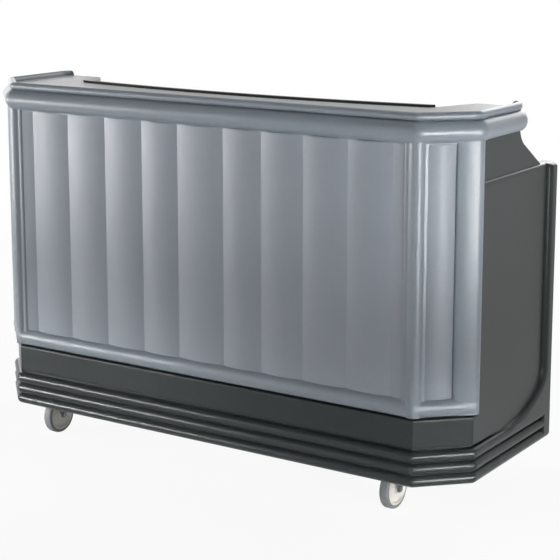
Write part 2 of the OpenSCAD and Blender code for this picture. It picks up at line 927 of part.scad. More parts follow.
module lid_tracks() {
    color(steel) for (side = [-1, 1]) translate([0, bin_y, track_z]) {
        mirror([0, side < 0 ? 1 : 0, 0]) difference() {
            box(-lid_end, lid_end, track_half - bin_flange, track_half, 0, track_h);
            for (level = [0, 1]) {
                translate([0, 0, fin_t + level * (groove_h + fin_t)])
                    box(-lid_end - over, lid_end + over, track_half - bin_flange - over,
                        track_half - track_wall, 0, groove_h);
            }
        }
    }
}

// A sliding lid on the given level, its leading edge past the middle by half the overlap
module ice_lid(level) {
    z0 = track_z + fin_t + lid_gap + level * (groove_h + fin_t);
    translate([0, bin_y, z0]) difference() {
        box(-lid_lap / 2, lid_end, -lid_half, lid_half, 0, lid_t);
        translate([dish_in - lid_lap / 2, 0, lid_t - dish_dep]) cylinder(d = dish_d, h = dish_dep + over);
    }
}

module left_ice_lid() {
    color(steel) mirror([1, 0, 0]) ice_lid(1);
}

module right_ice_lid() {
    color(steel) ice_lid(0);
}

// Drain
module bin_drain() {
    color(steel) translate([0, bin_y, 0]) difference() {
        union() {
            translate([0, 0, bin_floor]) cylinder(d = drain_flange_d, h = bin_t);
            translate([0, 0, tail_z]) cylinder(d = drain_d, h = bin_floor - tail_z + bin_t);
        }
        translate([0, 0, tail_z - over]) cylinder(d = drain_bore, h = bin_d);
    }
}

module drain_nut() {
    color(zinc) translate([0, bin_y, jacket_low - drain_nut_h]) difference() {
        cylinder(d = drain_d + 2 * drain_nut_h, h = drain_nut_h, $fn = 6);
        translate([0, 0, -over]) cylinder(d = drain_d + 2 * bolt_gap, h = drain_nut_h + 2 * over);
    }
}

module drain_valve() {
    color("#b59a5a") translate([0, bin_y, 0]) difference() {
        union() {
            translate([0, 0, valve_z]) cylinder(d = valve_d, h = valve_h);
            translate([0, 0, valve_mid]) rotate([-90, 0, 0])
                cylinder(d = stem_d + 2 * lever_t, h = valve_d / 2 + boss_len);
        }
        translate([0, 0, valve_z - over]) cylinder(d = drain_bore, h = valve_h + 2 * over);
        translate([0, 0, valve_mid]) sphere(d = ball_d + 2 * swivel_gap);
        translate([0, 0, valve_mid]) rotate([-90, 0, 0])
            cylinder(d = stem_d + 2 * turn_gap, h = valve_d / 2 + boss_len + over);
    }
}

module valve_ball() {
    color(steel) translate([0, bin_y, valve_mid]) rotate([0, 90, 0]) difference() {
        sphere(d = ball_d);
        translate([0, 0, -ball_d]) cylinder(d = drain_bore, h = 2 * ball_d);
        // Flat where the stem meets the ball
        box(-ball_d, ball_d, stem_in(), ball_d, -ball_d, ball_d);
    }
}

// Distance from the valve's middle to the stem's inner end
function stem_in() = (ball_d + drain_bore) / 4;

module valve_lever() {
    color("#9c3a34") translate([0, bin_y, valve_mid]) {
        rotate([-90, 0, 0])
            translate([0, 0, stem_in()])
                cylinder(d = stem_d, h = valve_d / 2 + boss_len + swivel_gap + lever_t - stem_in());
        translate([0, valve_d / 2 + boss_len + swivel_gap + lever_t, 0])
            rotate([90, 0, 0])
                linear_extrude(lever_t) {
                    circle(d = lever_w);
                    translate([0, -lever_w / 2]) square([lever_len, lever_w]);
                    translate([lever_len, 0]) circle(d = lever_w);
                }
    }
}

module drain_spout() {
    color(steel) translate([0, bin_y, 0])
        tube(spout_d, drain_bore, valve_z - spout_len, spout_len);
}

// Deck fittings
module each_cup() {
    for (col = [0 : cup_cols - 1], row = [0 : cup_rows - 1]) {
        translate([(col - (cup_cols - 1) / 2) * cup_pitch_x - cup_x, cup_y - row * cup_pitch_y, 0])
            children();
    }
}

module bottle_cups() {
    color(steel) each_cup() difference() {
        union() {
            translate([0, 0, deck_z - cup_depth]) cylinder(r = cup_r, h = cup_depth);
            box((cup_join - cup_pitch_x) / 2, (cup_pitch_x - cup_join) / 2, -cup_r - cup_flange,
                cup_r + cup_flange, deck_z, deck_z + cup_wall);
        }
        translate([0, 0, deck_z - cup_depth + cup_wall]) cylinder(d = cup_d, h = cup_depth + over);
    }
}

module cutting_block(gap, z0, z1) {
    x0 = divider_x + cutting_side;
    x1 = inner_x - cutting_side;
    box(x0 - gap, x1 + gap, splash_at(x1) + cutting_front - gap, deck_y - cutting_in + gap, z0, z1);
}

module cutting_board() {
    color("#e9e7e0") cutting_block(0, deck_z - cutting_seat, deck_z - cutting_seat + cutting_t);
}

// Speed rail
module speed_rail() {
    low_front = rail_z + rail_h * rail_front_share;
    color(steel) difference() {
        box(-rail_len / 2, rail_len / 2, rail_y, rail_y + rail_dep, rail_z, rail_top);
        box(-rail_len / 2 + rail_t, rail_len / 2 - rail_t, rail_y + rail_t, rail_y + rail_dep - rail_t,
            rail_z + rail_t, rail_top + over);
        box(-rail_len, rail_len, rail_y + rail_t, rail_y + rail_dep + over, low_front, rail_top + over);
        each_hanger() translate([0, rail_y - over, 0]) rotate([-90, 0, 0])
            cylinder(d = screw_d + 2 * bolt_gap, h = rail_t + 2 * over);
    }
}

// Places of the screws through a hanger and the rail's back
module each_hanger() {
    for (side = [-1, 1], ix = [-1, 1]) {
        translate([side * hanger_x + ix * hanger_w / 4, 0, rail_top - rail_h / 4]) children();
    }
}

module rail_hangers() {
    color(zinc) difference() {
        for (side = [-1, 1]) {
            x0 = side * hanger_x - hanger_w / 2;
            box(x0, x0 + hanger_w, deck_y, rail_y, rail_z, deck_z - rail_t);
            box(x0, x0 + hanger_w, deck_y - hanger_w, deck_y, deck_low - hanger_t, deck_low);
            box(x0, x0 + hanger_w, deck_y - over, deck_y + over, deck_low - hanger_t, deck_low);
        }
        each_hanger() translate([0, deck_y - over, 0]) rotate([-90, 0, 0])
            cylinder(d = screw_d + 2 * bolt_gap, h = hanger_t + 2 * over);
    }
}

module hanger_screws() {
    color(zinc) each_hanger() {
        translate([0, deck_y, 0]) rotate([-90, 0, 0]) cylinder(d = screw_d, h = hanger_t + rail_t);
        translate([0, rail_y + rail_t, 0]) rotate([-90, 0, 0])
            cylinder(d = 2 * screw_d, h = screw_d / 2);
    }
}

// Casters, drawn about their swivel axis with the wheel trailing to +Y
module at_caster(sx, sy) {
    y = sy < 0 ? front_y + caster_front : rear_y - caster_rear;
    translate([sx * caster_x, y, 0]) rotate([0, 0, sy < 0 ? 180 : 0]) children();
}

module each_caster() {
    for (sx = [-1, 1], sy = [-1, 1]) at_caster(sx, sy) children();
}

module each_bolt() {
    for (ix = [-1, 1], iy = [-1, 1]) {
        translate([ix * (plate_w / 2 - bolt_in), iy * (plate_l / 2 - bolt_in), 0]) children();
    }
}

module plate() {
    color(zinc) difference() {
        translate([0, 0, plate_z]) linear_extrude(plate_t) round_rect(plate_w, plate_l, bolt_in / 2);
        each_bolt() translate([0, 0, plate_z - over])
            cylinder(d = bolt_d + 2 * bolt_gap, h = plate_t + 2 * over);
    }
}

module swivel_races() {
    color(zinc) each_caster() tube(race_d, king_d + 2 * turn_gap, race_z, race_h);
}

module caster_bolts() {
    color(zinc) each_caster() each_bolt() {
        translate([0, 0, plate_z - bolt_head_h]) cylinder(d = bolt_head_d, h = bolt_head_h, $fn = 6);
        translate([0, 0, plate_z]) cylinder(d = bolt_d, h = plate_t + bolt_len);
    }
}

// One fork leg in Y and Z, with an ear for the brake pedal's pivot if it has one
module leg_shape(braked) {
    difference() {
        union() {
            polygon([
                [trail - leg_r, axle_z], [trail + leg_r, axle_z],
                [trail + leg_top_w / 2, crown_z + crown_t], [trail - leg_top_w, crown_z + crown_t],
                [trail - leg_top_w, crown_z]
            ]);
            translate([trail, axle_z]) circle(leg_r);
            if (braked) {
                polygon([
                    [trail, crown_z + crown_t], [brake_y, brake_z + brake_eye_r],
                    [brake_y, brake_z - brake_eye_r], [trail + leg_r, axle_z + leg_top_w / 2]
                ]);
                translate([brake_y, brake_z]) circle(brake_eye_r);
            }
        }
        translate([trail, axle_z]) circle(d = axle_d + 2 * bolt_gap);
    }
}

module fork(braked) {
    color(zinc) {
        slab(leg_x, leg_t) leg_shape(braked);
        slab(-leg_x - leg_t, leg_t) leg_shape(braked);
        translate([0, 0, crown_z])
            linear_extrude(crown_t) {
                circle(crown_r);
                translate([-leg_x - leg_t, trail - leg_top_w])
                    square([2 * (leg_x + leg_t), leg_top_w * 3 / 2]);
            }
        translate([0, 0, crown_z]) cylinder(d = king_d, h = crown_t + race_h);
        if (braked) {
            translate([-leg_x, brake_y, brake_z]) rotate([0, 90, 0])
                cylinder(d = brake_pin_d, h = 2 * leg_x);
        }
    }
}

module axle() {
    half = leg_x + leg_t;
    color(zinc) translate([0, trail, axle_z]) rotate([0, 90, 0]) {
        translate([0, 0, -half]) cylinder(d = axle_d, h = 2 * half);
        translate([0, 0, half]) cylinder(d = axle_d * 2, h = leg_t, $fn = 6);
        translate([0, 0, -half - leg_t]) cylinder(d = axle_d * 2, h = leg_t, $fn = 6);
    }
}

module hub() {
    rim_r = wheel_d / 2 - tyre_t;
    color(hub_cream) translate([0, trail, axle_z]) rotate([0, 90, 0])
        rotate_extrude()
            difference() {
                union() {
                    translate([0, -hub_w / 2]) square([boss_d / 2, hub_w]);
                    translate([0, -web_t / 2]) square([rim_r, web_t]);
                    translate([rim_r - hub_rim, -wheel_w / 2]) square([hub_rim, wheel_w]);
                }
                translate([0, -hub_w]) square([axle_d / 2 + turn_gap, 2 * hub_w]);
            }
}

module tyre() {
    in_r = wheel_d / 2 - tyre_t;
    color(tyre_gray) translate([0, trail, axle_z]) rotate([0, 90, 0])
        rotate_extrude() {
            translate([in_r, -wheel_w / 2]) square([tyre_t - tyre_r, wheel_w]);
            translate([in_r, tyre_r - wheel_w / 2]) square([tyre_t, wheel_w - 2 * tyre_r]);
            for (side = [-1, 1]) {
                translate([wheel_d / 2 - tyre_r, side * (wheel_w / 2 - tyre_r)]) circle(tyre_r);
            }
        }
}

module brake_pedal() {
    color("#3a3d3e") slab(-pedal_w / 2, pedal_w)
        translate([brake_y, brake_z]) difference() {
            union() {
                circle(brake_eye_r);
                rotate([0, 0, pedal_tilt]) translate([0, -pedal_t / 2]) square([pedal_len, pedal_t]);
                translate([-pedal_t / 2, -toe_len]) square([pedal_t, toe_len]);
            }
            circle(brake_pin_d / 2 + turn_gap);
        }
}

bumper_skirt();
plinth_band();
base_floor();
front_wall();
left_end_wall();
right_end_wall();
fascia_frame();
flute_panel();
left_corner_flute();
right_corner_flute();
bar_top();
backsplash();
work_deck();
left_deck();
right_deck();
left_divider();
right_divider();
left_shelf();
right_shelf();
shelf_cleats();
ice_bin();
ice_bin_jacket();
lid_tracks();
left_ice_lid();
right_ice_lid();
bin_drain();
drain_nut();
drain_valve();
valve_ball();
valve_lever();
drain_spout();
bottle_cups();
cutting_board();
speed_rail();
rail_hangers();
hanger_screws();
at_caster(-1, -1) plate();  // front_left_plate
at_caster(1, -1) plate();  // front_right_plate
at_caster(-1, 1) plate();  // rear_left_plate
at_caster(1, 1) plate();  // rear_right_plate
swivel_races();
caster_bolts();
at_caster(-1, -1) fork(false);  // front_left_fork
at_caster(1, -1) fork(false);  // front_right_fork
at_caster(-1, 1) fork(true);  // rear_left_fork
at_caster(1, 1) fork(true);  // rear_right_fork
at_caster(-1, -1) axle();  // front_left_axle
at_caster(1, -1) axle();  // front_right_axle
at_caster(-1, 1) axle();  // rear_left_axle
at_caster(1, 1) axle();  // rear_right_axle
at_caster(-1, -1) hub();  // front_left_hub
at_caster(1, -1) hub();  // front_right_hub
at_caster(-1, 1) hub();  // rear_left_hub
at_caster(1, 1) hub();  // rear_right_hub
at_caster(-1, -1) tyre();  // front_left_tyre
at_caster(1, -1) tyre();  // front_right_tyre
at_caster(-1, 1) tyre();  // rear_left_tyre
at_caster(1, 1) tyre();  // rear_right_tyre
at_caster(-1, 1) brake_pedal();  // left_brake_pedal
at_caster(1, 1) brake_pedal();  // right_brake_pedal
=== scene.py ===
"""Mobile bar unit: the dressed model of a serving bar on casters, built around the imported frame.

+X runs along the bar, -Y is the guests' side and +Z is up. Lengths are in metres. "out" is always the
distance outward from the face of the dark body, and a "track" is that face's line in plan.
"""
import logging
import math
from dataclasses import dataclass, field
from enum import Enum, IntEnum
from typing import Any, Iterable, Mapping, Optional, Sequence, Union

import bmesh
import bpy
import numpy as np
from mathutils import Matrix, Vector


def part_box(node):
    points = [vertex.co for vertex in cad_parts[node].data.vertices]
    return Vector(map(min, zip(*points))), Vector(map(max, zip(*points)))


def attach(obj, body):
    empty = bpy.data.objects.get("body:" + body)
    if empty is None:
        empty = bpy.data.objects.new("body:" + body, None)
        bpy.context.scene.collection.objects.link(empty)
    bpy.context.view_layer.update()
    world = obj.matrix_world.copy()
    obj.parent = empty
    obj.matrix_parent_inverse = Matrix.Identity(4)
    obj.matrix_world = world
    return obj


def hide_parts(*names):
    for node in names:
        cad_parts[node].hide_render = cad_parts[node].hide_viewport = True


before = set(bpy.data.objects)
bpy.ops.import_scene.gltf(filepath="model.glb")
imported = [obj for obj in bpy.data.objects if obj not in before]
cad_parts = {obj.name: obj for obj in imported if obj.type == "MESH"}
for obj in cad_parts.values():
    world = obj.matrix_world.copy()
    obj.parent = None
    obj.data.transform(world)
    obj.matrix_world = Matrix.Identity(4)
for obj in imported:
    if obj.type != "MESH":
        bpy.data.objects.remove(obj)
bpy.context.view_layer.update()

LOG = logging.getLogger("bar")
MM = 0.001
TINY = 1e-6
BEND = math.radians(45)
TURN = math.tan(BEND / 2)
ROOT_HALF = math.sqrt(0.5)
WEAR = "wear"
CORNERS = ("front_left", "front_right", "rear_left", "rear_right")
BOARDS = ("work_deck", "left_deck", "right_deck", "left_divider", "right_divider", "left_shelf",
          "right_shelf")
WHITE = (1.0, 1.0, 1.0, 1.0)
Array = np.ndarray
Colour = tuple[float, float, float]
Piece = bpy.types.Object
Socket = bpy.types.NodeSocket
Material = bpy.types.Material


def smooth(low: float, high: float, x: Array) -> Array:
    """Cubic step 3t^2 - 2t^3 of t = (x - low) / (high - low), held between 0 and 1."""
    t = np.clip((x - low) / (high - low), 0.0, 1.0)
    return t * t * (3.0 - 2.0 * t)


def soft_max(a: Array, b: Array, width: float) -> Array:
    """Larger of a and b, with the crease between them rounded over the given width."""
    h = np.clip(0.5 + 0.5 * (a - b) / width, 0.0, 1.0)
    return b + (a - b) * h + width * h * (1.0 - h)


def half_chord(r: Union[float, Array], d: Array) -> Array:
    """Half the chord sqrt(r^2 - d^2) of a circle at a distance d from its centre, or 0 outside it."""
    return np.sqrt(np.maximum(r * r - d * d, 0.0))


def round_over(past: Array, r: float) -> Array:
    """Drop r - sqrt(r^2 - past^2) of a quarter circle, at a distance past its start."""
    return r - half_chord(r, np.clip(past, 0.0, r))


def dome(x: Array, centre: float, half: float, rise: float, base: float) -> Array:
    """Circular arc over a chord: base at the chord's ends and base + rise over its middle.

    The circle's radius is (half^2 + rise^2) / (2 rise). Outside the circle the value is far below base.

    Args:
        x: Places along the chord.
        centre: The chord's middle.
        half: Half the chord.
        rise: Height of the crown over the chord.
        base: Height of the chord.

    Returns:
        The arc's height at each place.
    """
    radius = (half * half + rise * rise) / (2.0 * rise)
    arc = base + rise - radius + half_chord(radius, x - centre)
    return np.where(np.abs(x - centre) < radius, arc, base - radius)


def spread(low: float, high: float, step: float) -> Array:
    """Even places from low to high, no further apart than step."""
    return np.linspace(low, high, max(2, int(math.ceil(abs(high - low) / step)) + 1))


def merged(*runs: Iterable[float]) -> Array:
    """All the runs' places in rising order, each once."""
    return np.unique(np.round(np.concatenate([np.asarray(r, float) for r in runs]), 7))


def guard(low: float, high: float, step: float, margin: float = 4 * MM) -> Array:
    """Places along a face with two close to its ends, so that shading stays flat between them."""
    return merged([low + margin, high - margin], spread(low + margin, high - margin, step))


def stepped(start: float, *legs: tuple[float, float]) -> Array:
    """Places from start over one leg after another, each given by its end and its largest step."""
    ends = [start, *(end for end, _ in legs)]
    return merged(*(spread(low, high, step) for low, (high, step) in zip(ends, legs)))


def lengths(line: Array) -> Array:
    """Distance along a line of points, at each of them."""
    return np.concatenate([[0.0], np.cumsum(np.hypot(*np.diff(line, axis=0).T))])


# Meshes

@dataclass
class Mesh:
    """Points and faces of a piece, with a wear value between 0 and 1 for each point."""

    points: Array
    quads: Array
    rings: list[list[int]] = field(default_factory=list)
    wear: Optional[Array] = None

    def mirrored(self) -> "Mesh":
        """The mesh reflected in the plane x = 0, its faces turned to keep their outsides."""
        rings = [ring[::-1] for ring in self.rings]
        return Mesh(self.points * np.array([-1.0, 1.0, 1.0]), self.quads[:, ::-1], rings, self.wear)


def grid_quads(rows: int, cols: int, close_rows: bool) -> Array:
    """Quads of a grid of rows x cols points, closed across, and closed on itself or open along.

    Args:
        rows: Points along.
        cols: Points across.
        close_rows: Whether the last row joins the first.

    Returns:
        Quads, as the numbers of their points.
    """
    i = np.arange(rows if close_rows else rows - 1)[:, None]
    j = np.arange(cols)[None, :]
    i1, j1 = (i + 1) % rows, (j + 1) % cols
    corners = (i * cols + j, i1 * cols + j, i1 * cols + j1, i * cols + j1)
    return np.stack([np.broadcast_to(c, (i.size, j.size)).ravel() for c in corners], axis=1)


def swept(grid: Array, wear: Optional[Array] = None) -> Mesh:
    """Closed tube: row i of the grid is the closed section at station i, and both ends are capped.

    Args:
        grid: Points, stations x section x 3.
        wear: Wear of each point, or nothing.

    Returns:
        The tube's mesh.
    """
    rows, cols = grid.shape[:2]
    ends = [list(range(cols)), list(range((rows - 1) * cols, rows * cols))]
    flat = None if wear is None else np.broadcast_to(wear, (rows, cols)).ravel()
    return Mesh(grid.reshape(-1, 3), grid_quads(rows, cols, False), ends, flat)


def turned(profile: Array, centre: Array, steps: int) -> Mesh:
    """Closed profile of (along, radius) carried round an axis along X through the centre.

    A point at angle a is centre + (along, radius cos a, radius sin a).

    Args:
        profile: Points x 2.
        centre: A point of the axis.
        steps: Number of stations round the axis.

    Returns:
        The ring's mesh.
    """
    a = np.linspace(0.0, 2.0 * math.pi, steps, endpoint=False)[:, None]
    along = np.broadcast_to(profile[None, :, 0], (steps, len(profile)))
    grid = np.stack([along, np.cos(a) * profile[None, :, 1], np.sin(a) * profile[None, :, 1]], axis=2)
    return Mesh((grid + centre).reshape(-1, 3), grid_quads(steps, len(profile), True))


def slab(front: Array, back: Array, keep: Optional[Array] = None, wear: Optional[Array] = None) -> Mesh:
    """Closed plate between two grids, with windows where keep is false.

    Kept cells give a face on each grid, and an edge between a kept cell and an open one gives a wall.

    Args:
        front: Outer points, n x m x 3.
        back: Inner points, n x m x 3.
        keep: Which of the (n - 1) x (m - 1) cells are solid, or nothing for all of them.
        wear: Wear of each outer point, or nothing.

    Returns:
        The plate's mesh.
    """
    rows, cols = front.shape[:2]
    keep = np.ones((rows - 1, cols - 1), bool) if keep is None else keep
    n, m = keep.shape
    size = rows * cols
    idx = np.arange(size).reshape(rows, cols)
    a, b, c, d = idx[:-1, :-1], idx[1:, :-1], idx[1:, 1:], idx[:-1, 1:]
    faces = [np.stack([a, b, c, d], axis=2)[keep], np.stack([d, c, b, a], axis=2)[keep] + size]
    padded = np.pad(keep, 1)
    for di, dj, p, q in ((0, 1, a, d), (2, 1, c, b), (1, 0, b, a), (1, 2, d, c)):
        open_side = keep & ~padded[di:di + n, dj:dj + m]
        faces.append(np.stack([p, q, q + size, p + size], axis=2)[open_side])
    flat = None if wear is None else np.concatenate([wear.ravel(), np.zeros(size)])
    return Mesh(np.vstack([front.reshape(-1, 3), back.reshape(-1, 3)]), np.vstack(faces), [], flat)


def placed(name: str, data: bpy.types.ID) -> Piece:
    """A new object of the data, linked to the scene.

    Args:
        name: The object's name.
        data: Its mesh, lamp or camera.

    Returns:
        The object.
    """
    made = bpy.data.objects.new(name, data)
    bpy.context.scene.collection.objects.link(made)
    return made


def make_piece(name: str, mesh: Mesh, crease: float = 35.0) -> Piece:
    """Blender object of a mesh: doubles merged, faces outward, smooth but for creases.

    Args:
        name: The piece's name.
        mesh: Its points and faces.
        crease: Angle in degrees past which an edge is shaded sharp.

    Returns:
        The object, at the origin.
    """
    data = bpy.data.meshes.new(name)
    data.from_pydata(mesh.points.tolist(), [], mesh.quads.tolist() + mesh.rings)
    if mesh.wear is not None:
        layer = data.attributes.new(WEAR, "FLOAT", "POINT")
        layer.data.foreach_set("value", np.clip(mesh.wear, 0.0, 1.0).astype(np.float32))
    work = bmesh.new()
    work.from_mesh(data)
    bmesh.ops.remove_doubles(work, verts=work.verts, dist=2 * TINY)
    bmesh.ops.dissolve_degenerate(work, edges=work.edges, dist=2 * TINY)
    bmesh.ops.delete(work, geom=[v for v in work.verts if not v.link_faces], context="VERTS")
    bmesh.ops.recalc_face_normals(work, faces=work.faces)
    work.to_mesh(data)
    work.free()
    data.shade_smooth()
    data.set_sharp_from_angle(angle=math.radians(crease))
    return placed(name, data)


def round_edges(piece: Piece, width: float, angle: float = 40.0) -> None:
    """Joins a piece's split edges with a Weld modifier and rounds the sharp ones with a Bevel modifier.

    Args:
        piece: The piece.
        width: Width of the rounding.
        angle: Angle in degrees past which an edge is rounded.
    """
    weld = piece.modifiers.new("joined", "WELD")
    weld.merge_threshold = 10 * TINY
    bevel = piece.modifiers.new("edges", "BEVEL")
    bevel.width = width
    bevel.segments = 3
    bevel.limit_method = "ANGLE"
    bevel.angle_limit = math.radians(angle)
    bevel.harden_normals = True


# Shaders

Operand = Union["Value", float]


class Value:
    """A shader value: one output socket, whose operators add Math nodes."""

    def __init__(self, net: "Net", socket: Socket) -> None:
        """Wraps a socket of a net."""
        self.net = net
        self.socket = socket

    def __add__(self, other: Operand) -> "Value":
        """This plus the other."""
        return self.net.math("ADD", self, other)

    __radd__ = __add__

    def __mul__(self, other: Operand) -> "Value":
        """This times the other."""
        return self.net.math("MULTIPLY", self, other)

    __rmul__ = __mul__

    def __sub__(self, other: Operand) -> "Value":
        """This minus the other."""
        return self.net.math("SUBTRACT", self, other)

    def __rsub__(self, other: Operand) -> "Value":
        """The other minus this."""
        return self.net.math("SUBTRACT", other, self)

    def ramp(self, low: float, high: float) -> "Value":
        """This mapped from low..high to 0..1 and held there."""
        values = {"Value": self, "From Min": low, "From Max": high}
        return self.net.value(self.net.node("ShaderNodeMapRange", {"clamp": True}, values))


class Net:
    """The node tree of one material or world."""

    def __init__(self, owner: Union[Material, bpy.types.World]) -> None:
        """Starts with the owner's own shader and output.

        Args:
            owner: The material or world.
        """
        owner.use_nodes = True
        self.owner = owner
        self.tree = owner.node_tree
        self.shader = self.tree.nodes.get("Principled BSDF") or self.tree.nodes["Background"]

    def node(self, kind: str, settings: Mapping[str, Any], values: Mapping[Any, Any]) -> bpy.types.Node:
        """Adds a node.

        Args:
            kind: The node's type.
            settings: Its properties, set first.
            values: What goes into its sockets, by name or number: a Value, a socket or a constant.

        Returns:
            The node.
        """
        made = self.tree.nodes.new(kind)
        for key, setting in settings.items():
            setattr(made, key, setting)
        self.feed(made, values)
        return made

    def feed(self, node: bpy.types.Node, values: Mapping[Any, Any]) -> None:
        """Links each Value or socket to the node's socket of that name, or sets a constant on it.

        Args:
            node: The node.
            values: What goes into its sockets, by name or number.
        """
        for key, value in values.items():
            value = value.socket if isinstance(value, Value) else value
            if isinstance(value, Socket):
                self.tree.links.new(value, node.inputs[key])
            else:
                node.inputs[key].default_value = value

    def value(self, node: bpy.types.Node, name: Union[str, int] = 0) -> Value:
        """A node's output as a Value."""
        return Value(self, node.outputs[name])

    def math(self, operation: str, a: Operand, b: Operand) -> Value:
        """A Math node on two operands."""
        return self.value(self.node("ShaderNodeMath", {"operation": operation}, {0: a, 1: b}))

    def mix(self, share: Operand, a: Any, b: Any) -> Socket:
        """Colour that goes from a to b as share goes from 0 to 1."""
        return self.node("ShaderNodeMix", {"data_type": "RGBA"}, {0: share, 6: a, 7: b}).outputs[2]

    def place(self, scale: Sequence[float] = (1.0, 1.0, 1.0)) -> Socket:
        """Object coordinates, stretched by a scale on each axis."""
        coords = self.node("ShaderNodeTexCoord", {}, {}).outputs["Object"]
        return self.node("ShaderNodeMapping", {}, {"Vector": coords, "Scale": scale}).outputs["Vector"]

    def noise(self, where: Socket, scale: float, detail: float = 2.0) -> Value:
        """Fractal noise about 0.5, scale being its lumps per metre."""
        values = {"Vector": where, "Scale": scale, "Detail": detail, "Roughness": 0.55}
        return self.value(self.node("ShaderNodeTexNoise", {}, values))

    def cells(self, where: Socket, scale: float) -> Value:
        """Distance to the nearest of scattered points, scale being cells per metre."""
        values = {"Vector": where, "Scale": scale}
        return self.value(self.node("ShaderNodeTexVoronoi", {}, values), "Distance")

    def worn(self) -> Value:
        """The mesh's own wear value, which is 0 on a mesh that has none."""
        return self.value(self.node("ShaderNodeAttribute", {"attribute_name": WEAR}, {}), "Fac")

    def seen(self) -> Value:
        """Whether a ray looks at the surface or only gathers light from it.

        Returns:
            1 for a ray from the camera, off a glossy surface or through glass, and else 0.
        """
        path = self.node("ShaderNodeLightPath", {}, {})
        names = ("Is Camera Ray", "Is Glossy Ray", "Is Transmission Ray")
        camera, glossy, glass = (self.value(path, name) for name in names)
        return self.math("MAXIMUM", self.math("MAXIMUM", camera, glossy), glass)

    def coat(self, base: Any, rough: Value, height: Value, depth: float, strength: float) -> Material:
        """Feeds the shader's colour, roughness and bump.

        Args:
            base: The colour.
            rough: The roughness.
            height: The bump's height, from 0 to 1.
            depth: Its full height in metres.
            strength: The bump's strength.

        Returns:
            The material.
        """
        bump = self.node("ShaderNodeBump", {}, {"Height": height, "Distance": depth, "Strength": strength})
        self.feed(self.shader, {"Base Color": base, "Roughness": rough, "Normal": bump.outputs["Normal"]})
        return self.owner


def tint(colour: Colour, gain: float = 1.0) -> tuple[float, float, float, float]:
    """Linear colour of an sRGB triple of 0 to 255, times a gain.

    Args:
        colour: The triple.
        gain: The factor.

    Returns:
        The linear colour, with an alpha of 1.
    """
    share = [c / 255.0 for c in colour]
    linear = [s / 12.92 if s <= 0.04045 else ((s + 0.055) / 1.055) ** 2.4 for s in share]
    return (linear[0] * gain, linear[1] * gain, linear[2] * gain, 1.0)


@dataclass(frozen=True)
class Finish:
    """A finish by its name and colour. Each kind has its own way of making the material."""

    name: str
    colour: Colour

    def net(self) -> Net:
        """The net of a new material."""
        return Net(bpy.data.materials.new(self.name))

    def shades(self, net: Net, share: Operand, low: float, high: float) -> Socket:
        """The colour at a gain that goes from low to high as share goes from 0 to 1."""
        return net.mix(share, tint(self.colour, low), tint(self.colour, high))


@dataclass(frozen=True)
class Moulded(Finish):
    """Moulded plastic: a fine pebbled skin, faint cloudy colour, speckle, and paler rubbed crowns."""

    rough: float = 0.42
    cloud: float = 0.10
    speckle: float = 0.06
    pebble: float = 0.22
    pebble_scale: float = 520.0
    rub: float = 0.08
    shine: float = 0.3

    def make(self) -> Material:
        """The finish as a material.

        Returns:
            The material.
        """
        net = self.net()
        where = net.place()
        cloudy = net.noise(where, 5.5, 3.0)
        fleck = net.noise(where, 780.0, 1.0)
        pebbles = net.cells(where, self.pebble_scale)
        streak = net.noise(net.place((3.0, 3.0, 60.0)), 2.0, 2.0)
        shade = cloudy.ramp(0.3, 0.7) * 0.75 + streak * 0.25
        base = self.shades(net, shade, 1.0 - self.cloud, 1.0 + self.cloud)
        dotted = net.mix(fleck.ramp(0.55, 0.72) * self.speckle, base, tint((225, 228, 230)))
        scuffs = net.worn() * net.noise(where, 38.0, 4.0).ramp(0.42, 0.62) * self.rub
        net.feed(net.shader, {"Specular IOR Level": self.shine})
        rough = cloudy * 0.08 + (self.rough - 0.04) + scuffs * 0.2
        base = net.mix(scuffs, dotted, tint(self.colour, 1.9))
        return net.coat(base, rough, pebbles * 0.7 + fleck * 0.3, 0.00035, self.pebble)


class Lay(Enum):
    """Direction in which a sheet of metal is brushed, as the noise's scale on each axis."""

    ALONG = (2.0, 240.0, 240.0)
    UP = (240.0, 240.0, 2.0)


@dataclass(frozen=True)
class Brushed(Finish):
    """Brushed sheet metal: long fine scratches, cloudy polish and a few finger marks."""

    lay: Lay = Lay.ALONG
    rough: float = 0.30
    scratch: float = 0.25

    def make(self) -> Material:
        """The finish as a material.

        Returns:
            The material.
        """
        net = self.net()
        polish = net.noise(net.place(), 7.0, 3.0)
        hair = net.noise(net.place(self.lay.value), 6.0, 4.0)
        base = self.shades(net, (hair * 0.6 + polish * 0.4).ramp(0.3, 0.7), 0.82, 1.08)
        net.feed(net.shader, {"Metallic": 1.0})
        rough = polish * 0.14 + hair * 0.16 + (self.rough - 0.15)
        return net.coat(base, rough, hair, 0.00012, self.scratch)


@dataclass(frozen=True)
class Plated(Finish):
    """Zinc plated steel: pale crystals of plating over a satin metal, dulled in patches."""

    rough: float = 0.36

    def make(self) -> Material:
        """The finish as a material.

        Returns:
            The material.
        """
        net = self.net()
        where = net.place()
        flakes, dull = net.cells(where, 190.0), net.noise(where, 24.0, 4.0)
        base = self.shades(net, flakes * 0.45 + dull.ramp(0.35, 0.65) * 0.55, 0.78, 1.1)
        net.feed(net.shader, {"Metallic": 0.9})
        return net.coat(base, dull * 0.24 + (self.rough - 0.12), flakes * 0.5 + dull * 0.5, 0.0002, 0.15)


@dataclass(frozen=True)
class Rubber(Finish):
    """Gray non-marking tyre: matt, dusty, rolled smooth round its tread."""

    def make(self) -> Material:
        """The finish as a material.

        Returns:
            The material.
        """
        net = self.net()
        where = net.place()
        dust, skin = net.noise(where, 60.0, 5.0), net.noise(where, 900.0, 2.0)
        base = self.shades(net, dust.ramp(0.35, 0.7), 0.84, 1.14)
        return net.coat(base, dust * 0.25 + 0.5, skin * 0.6 + dust * 0.4, 0.0004, 0.2)


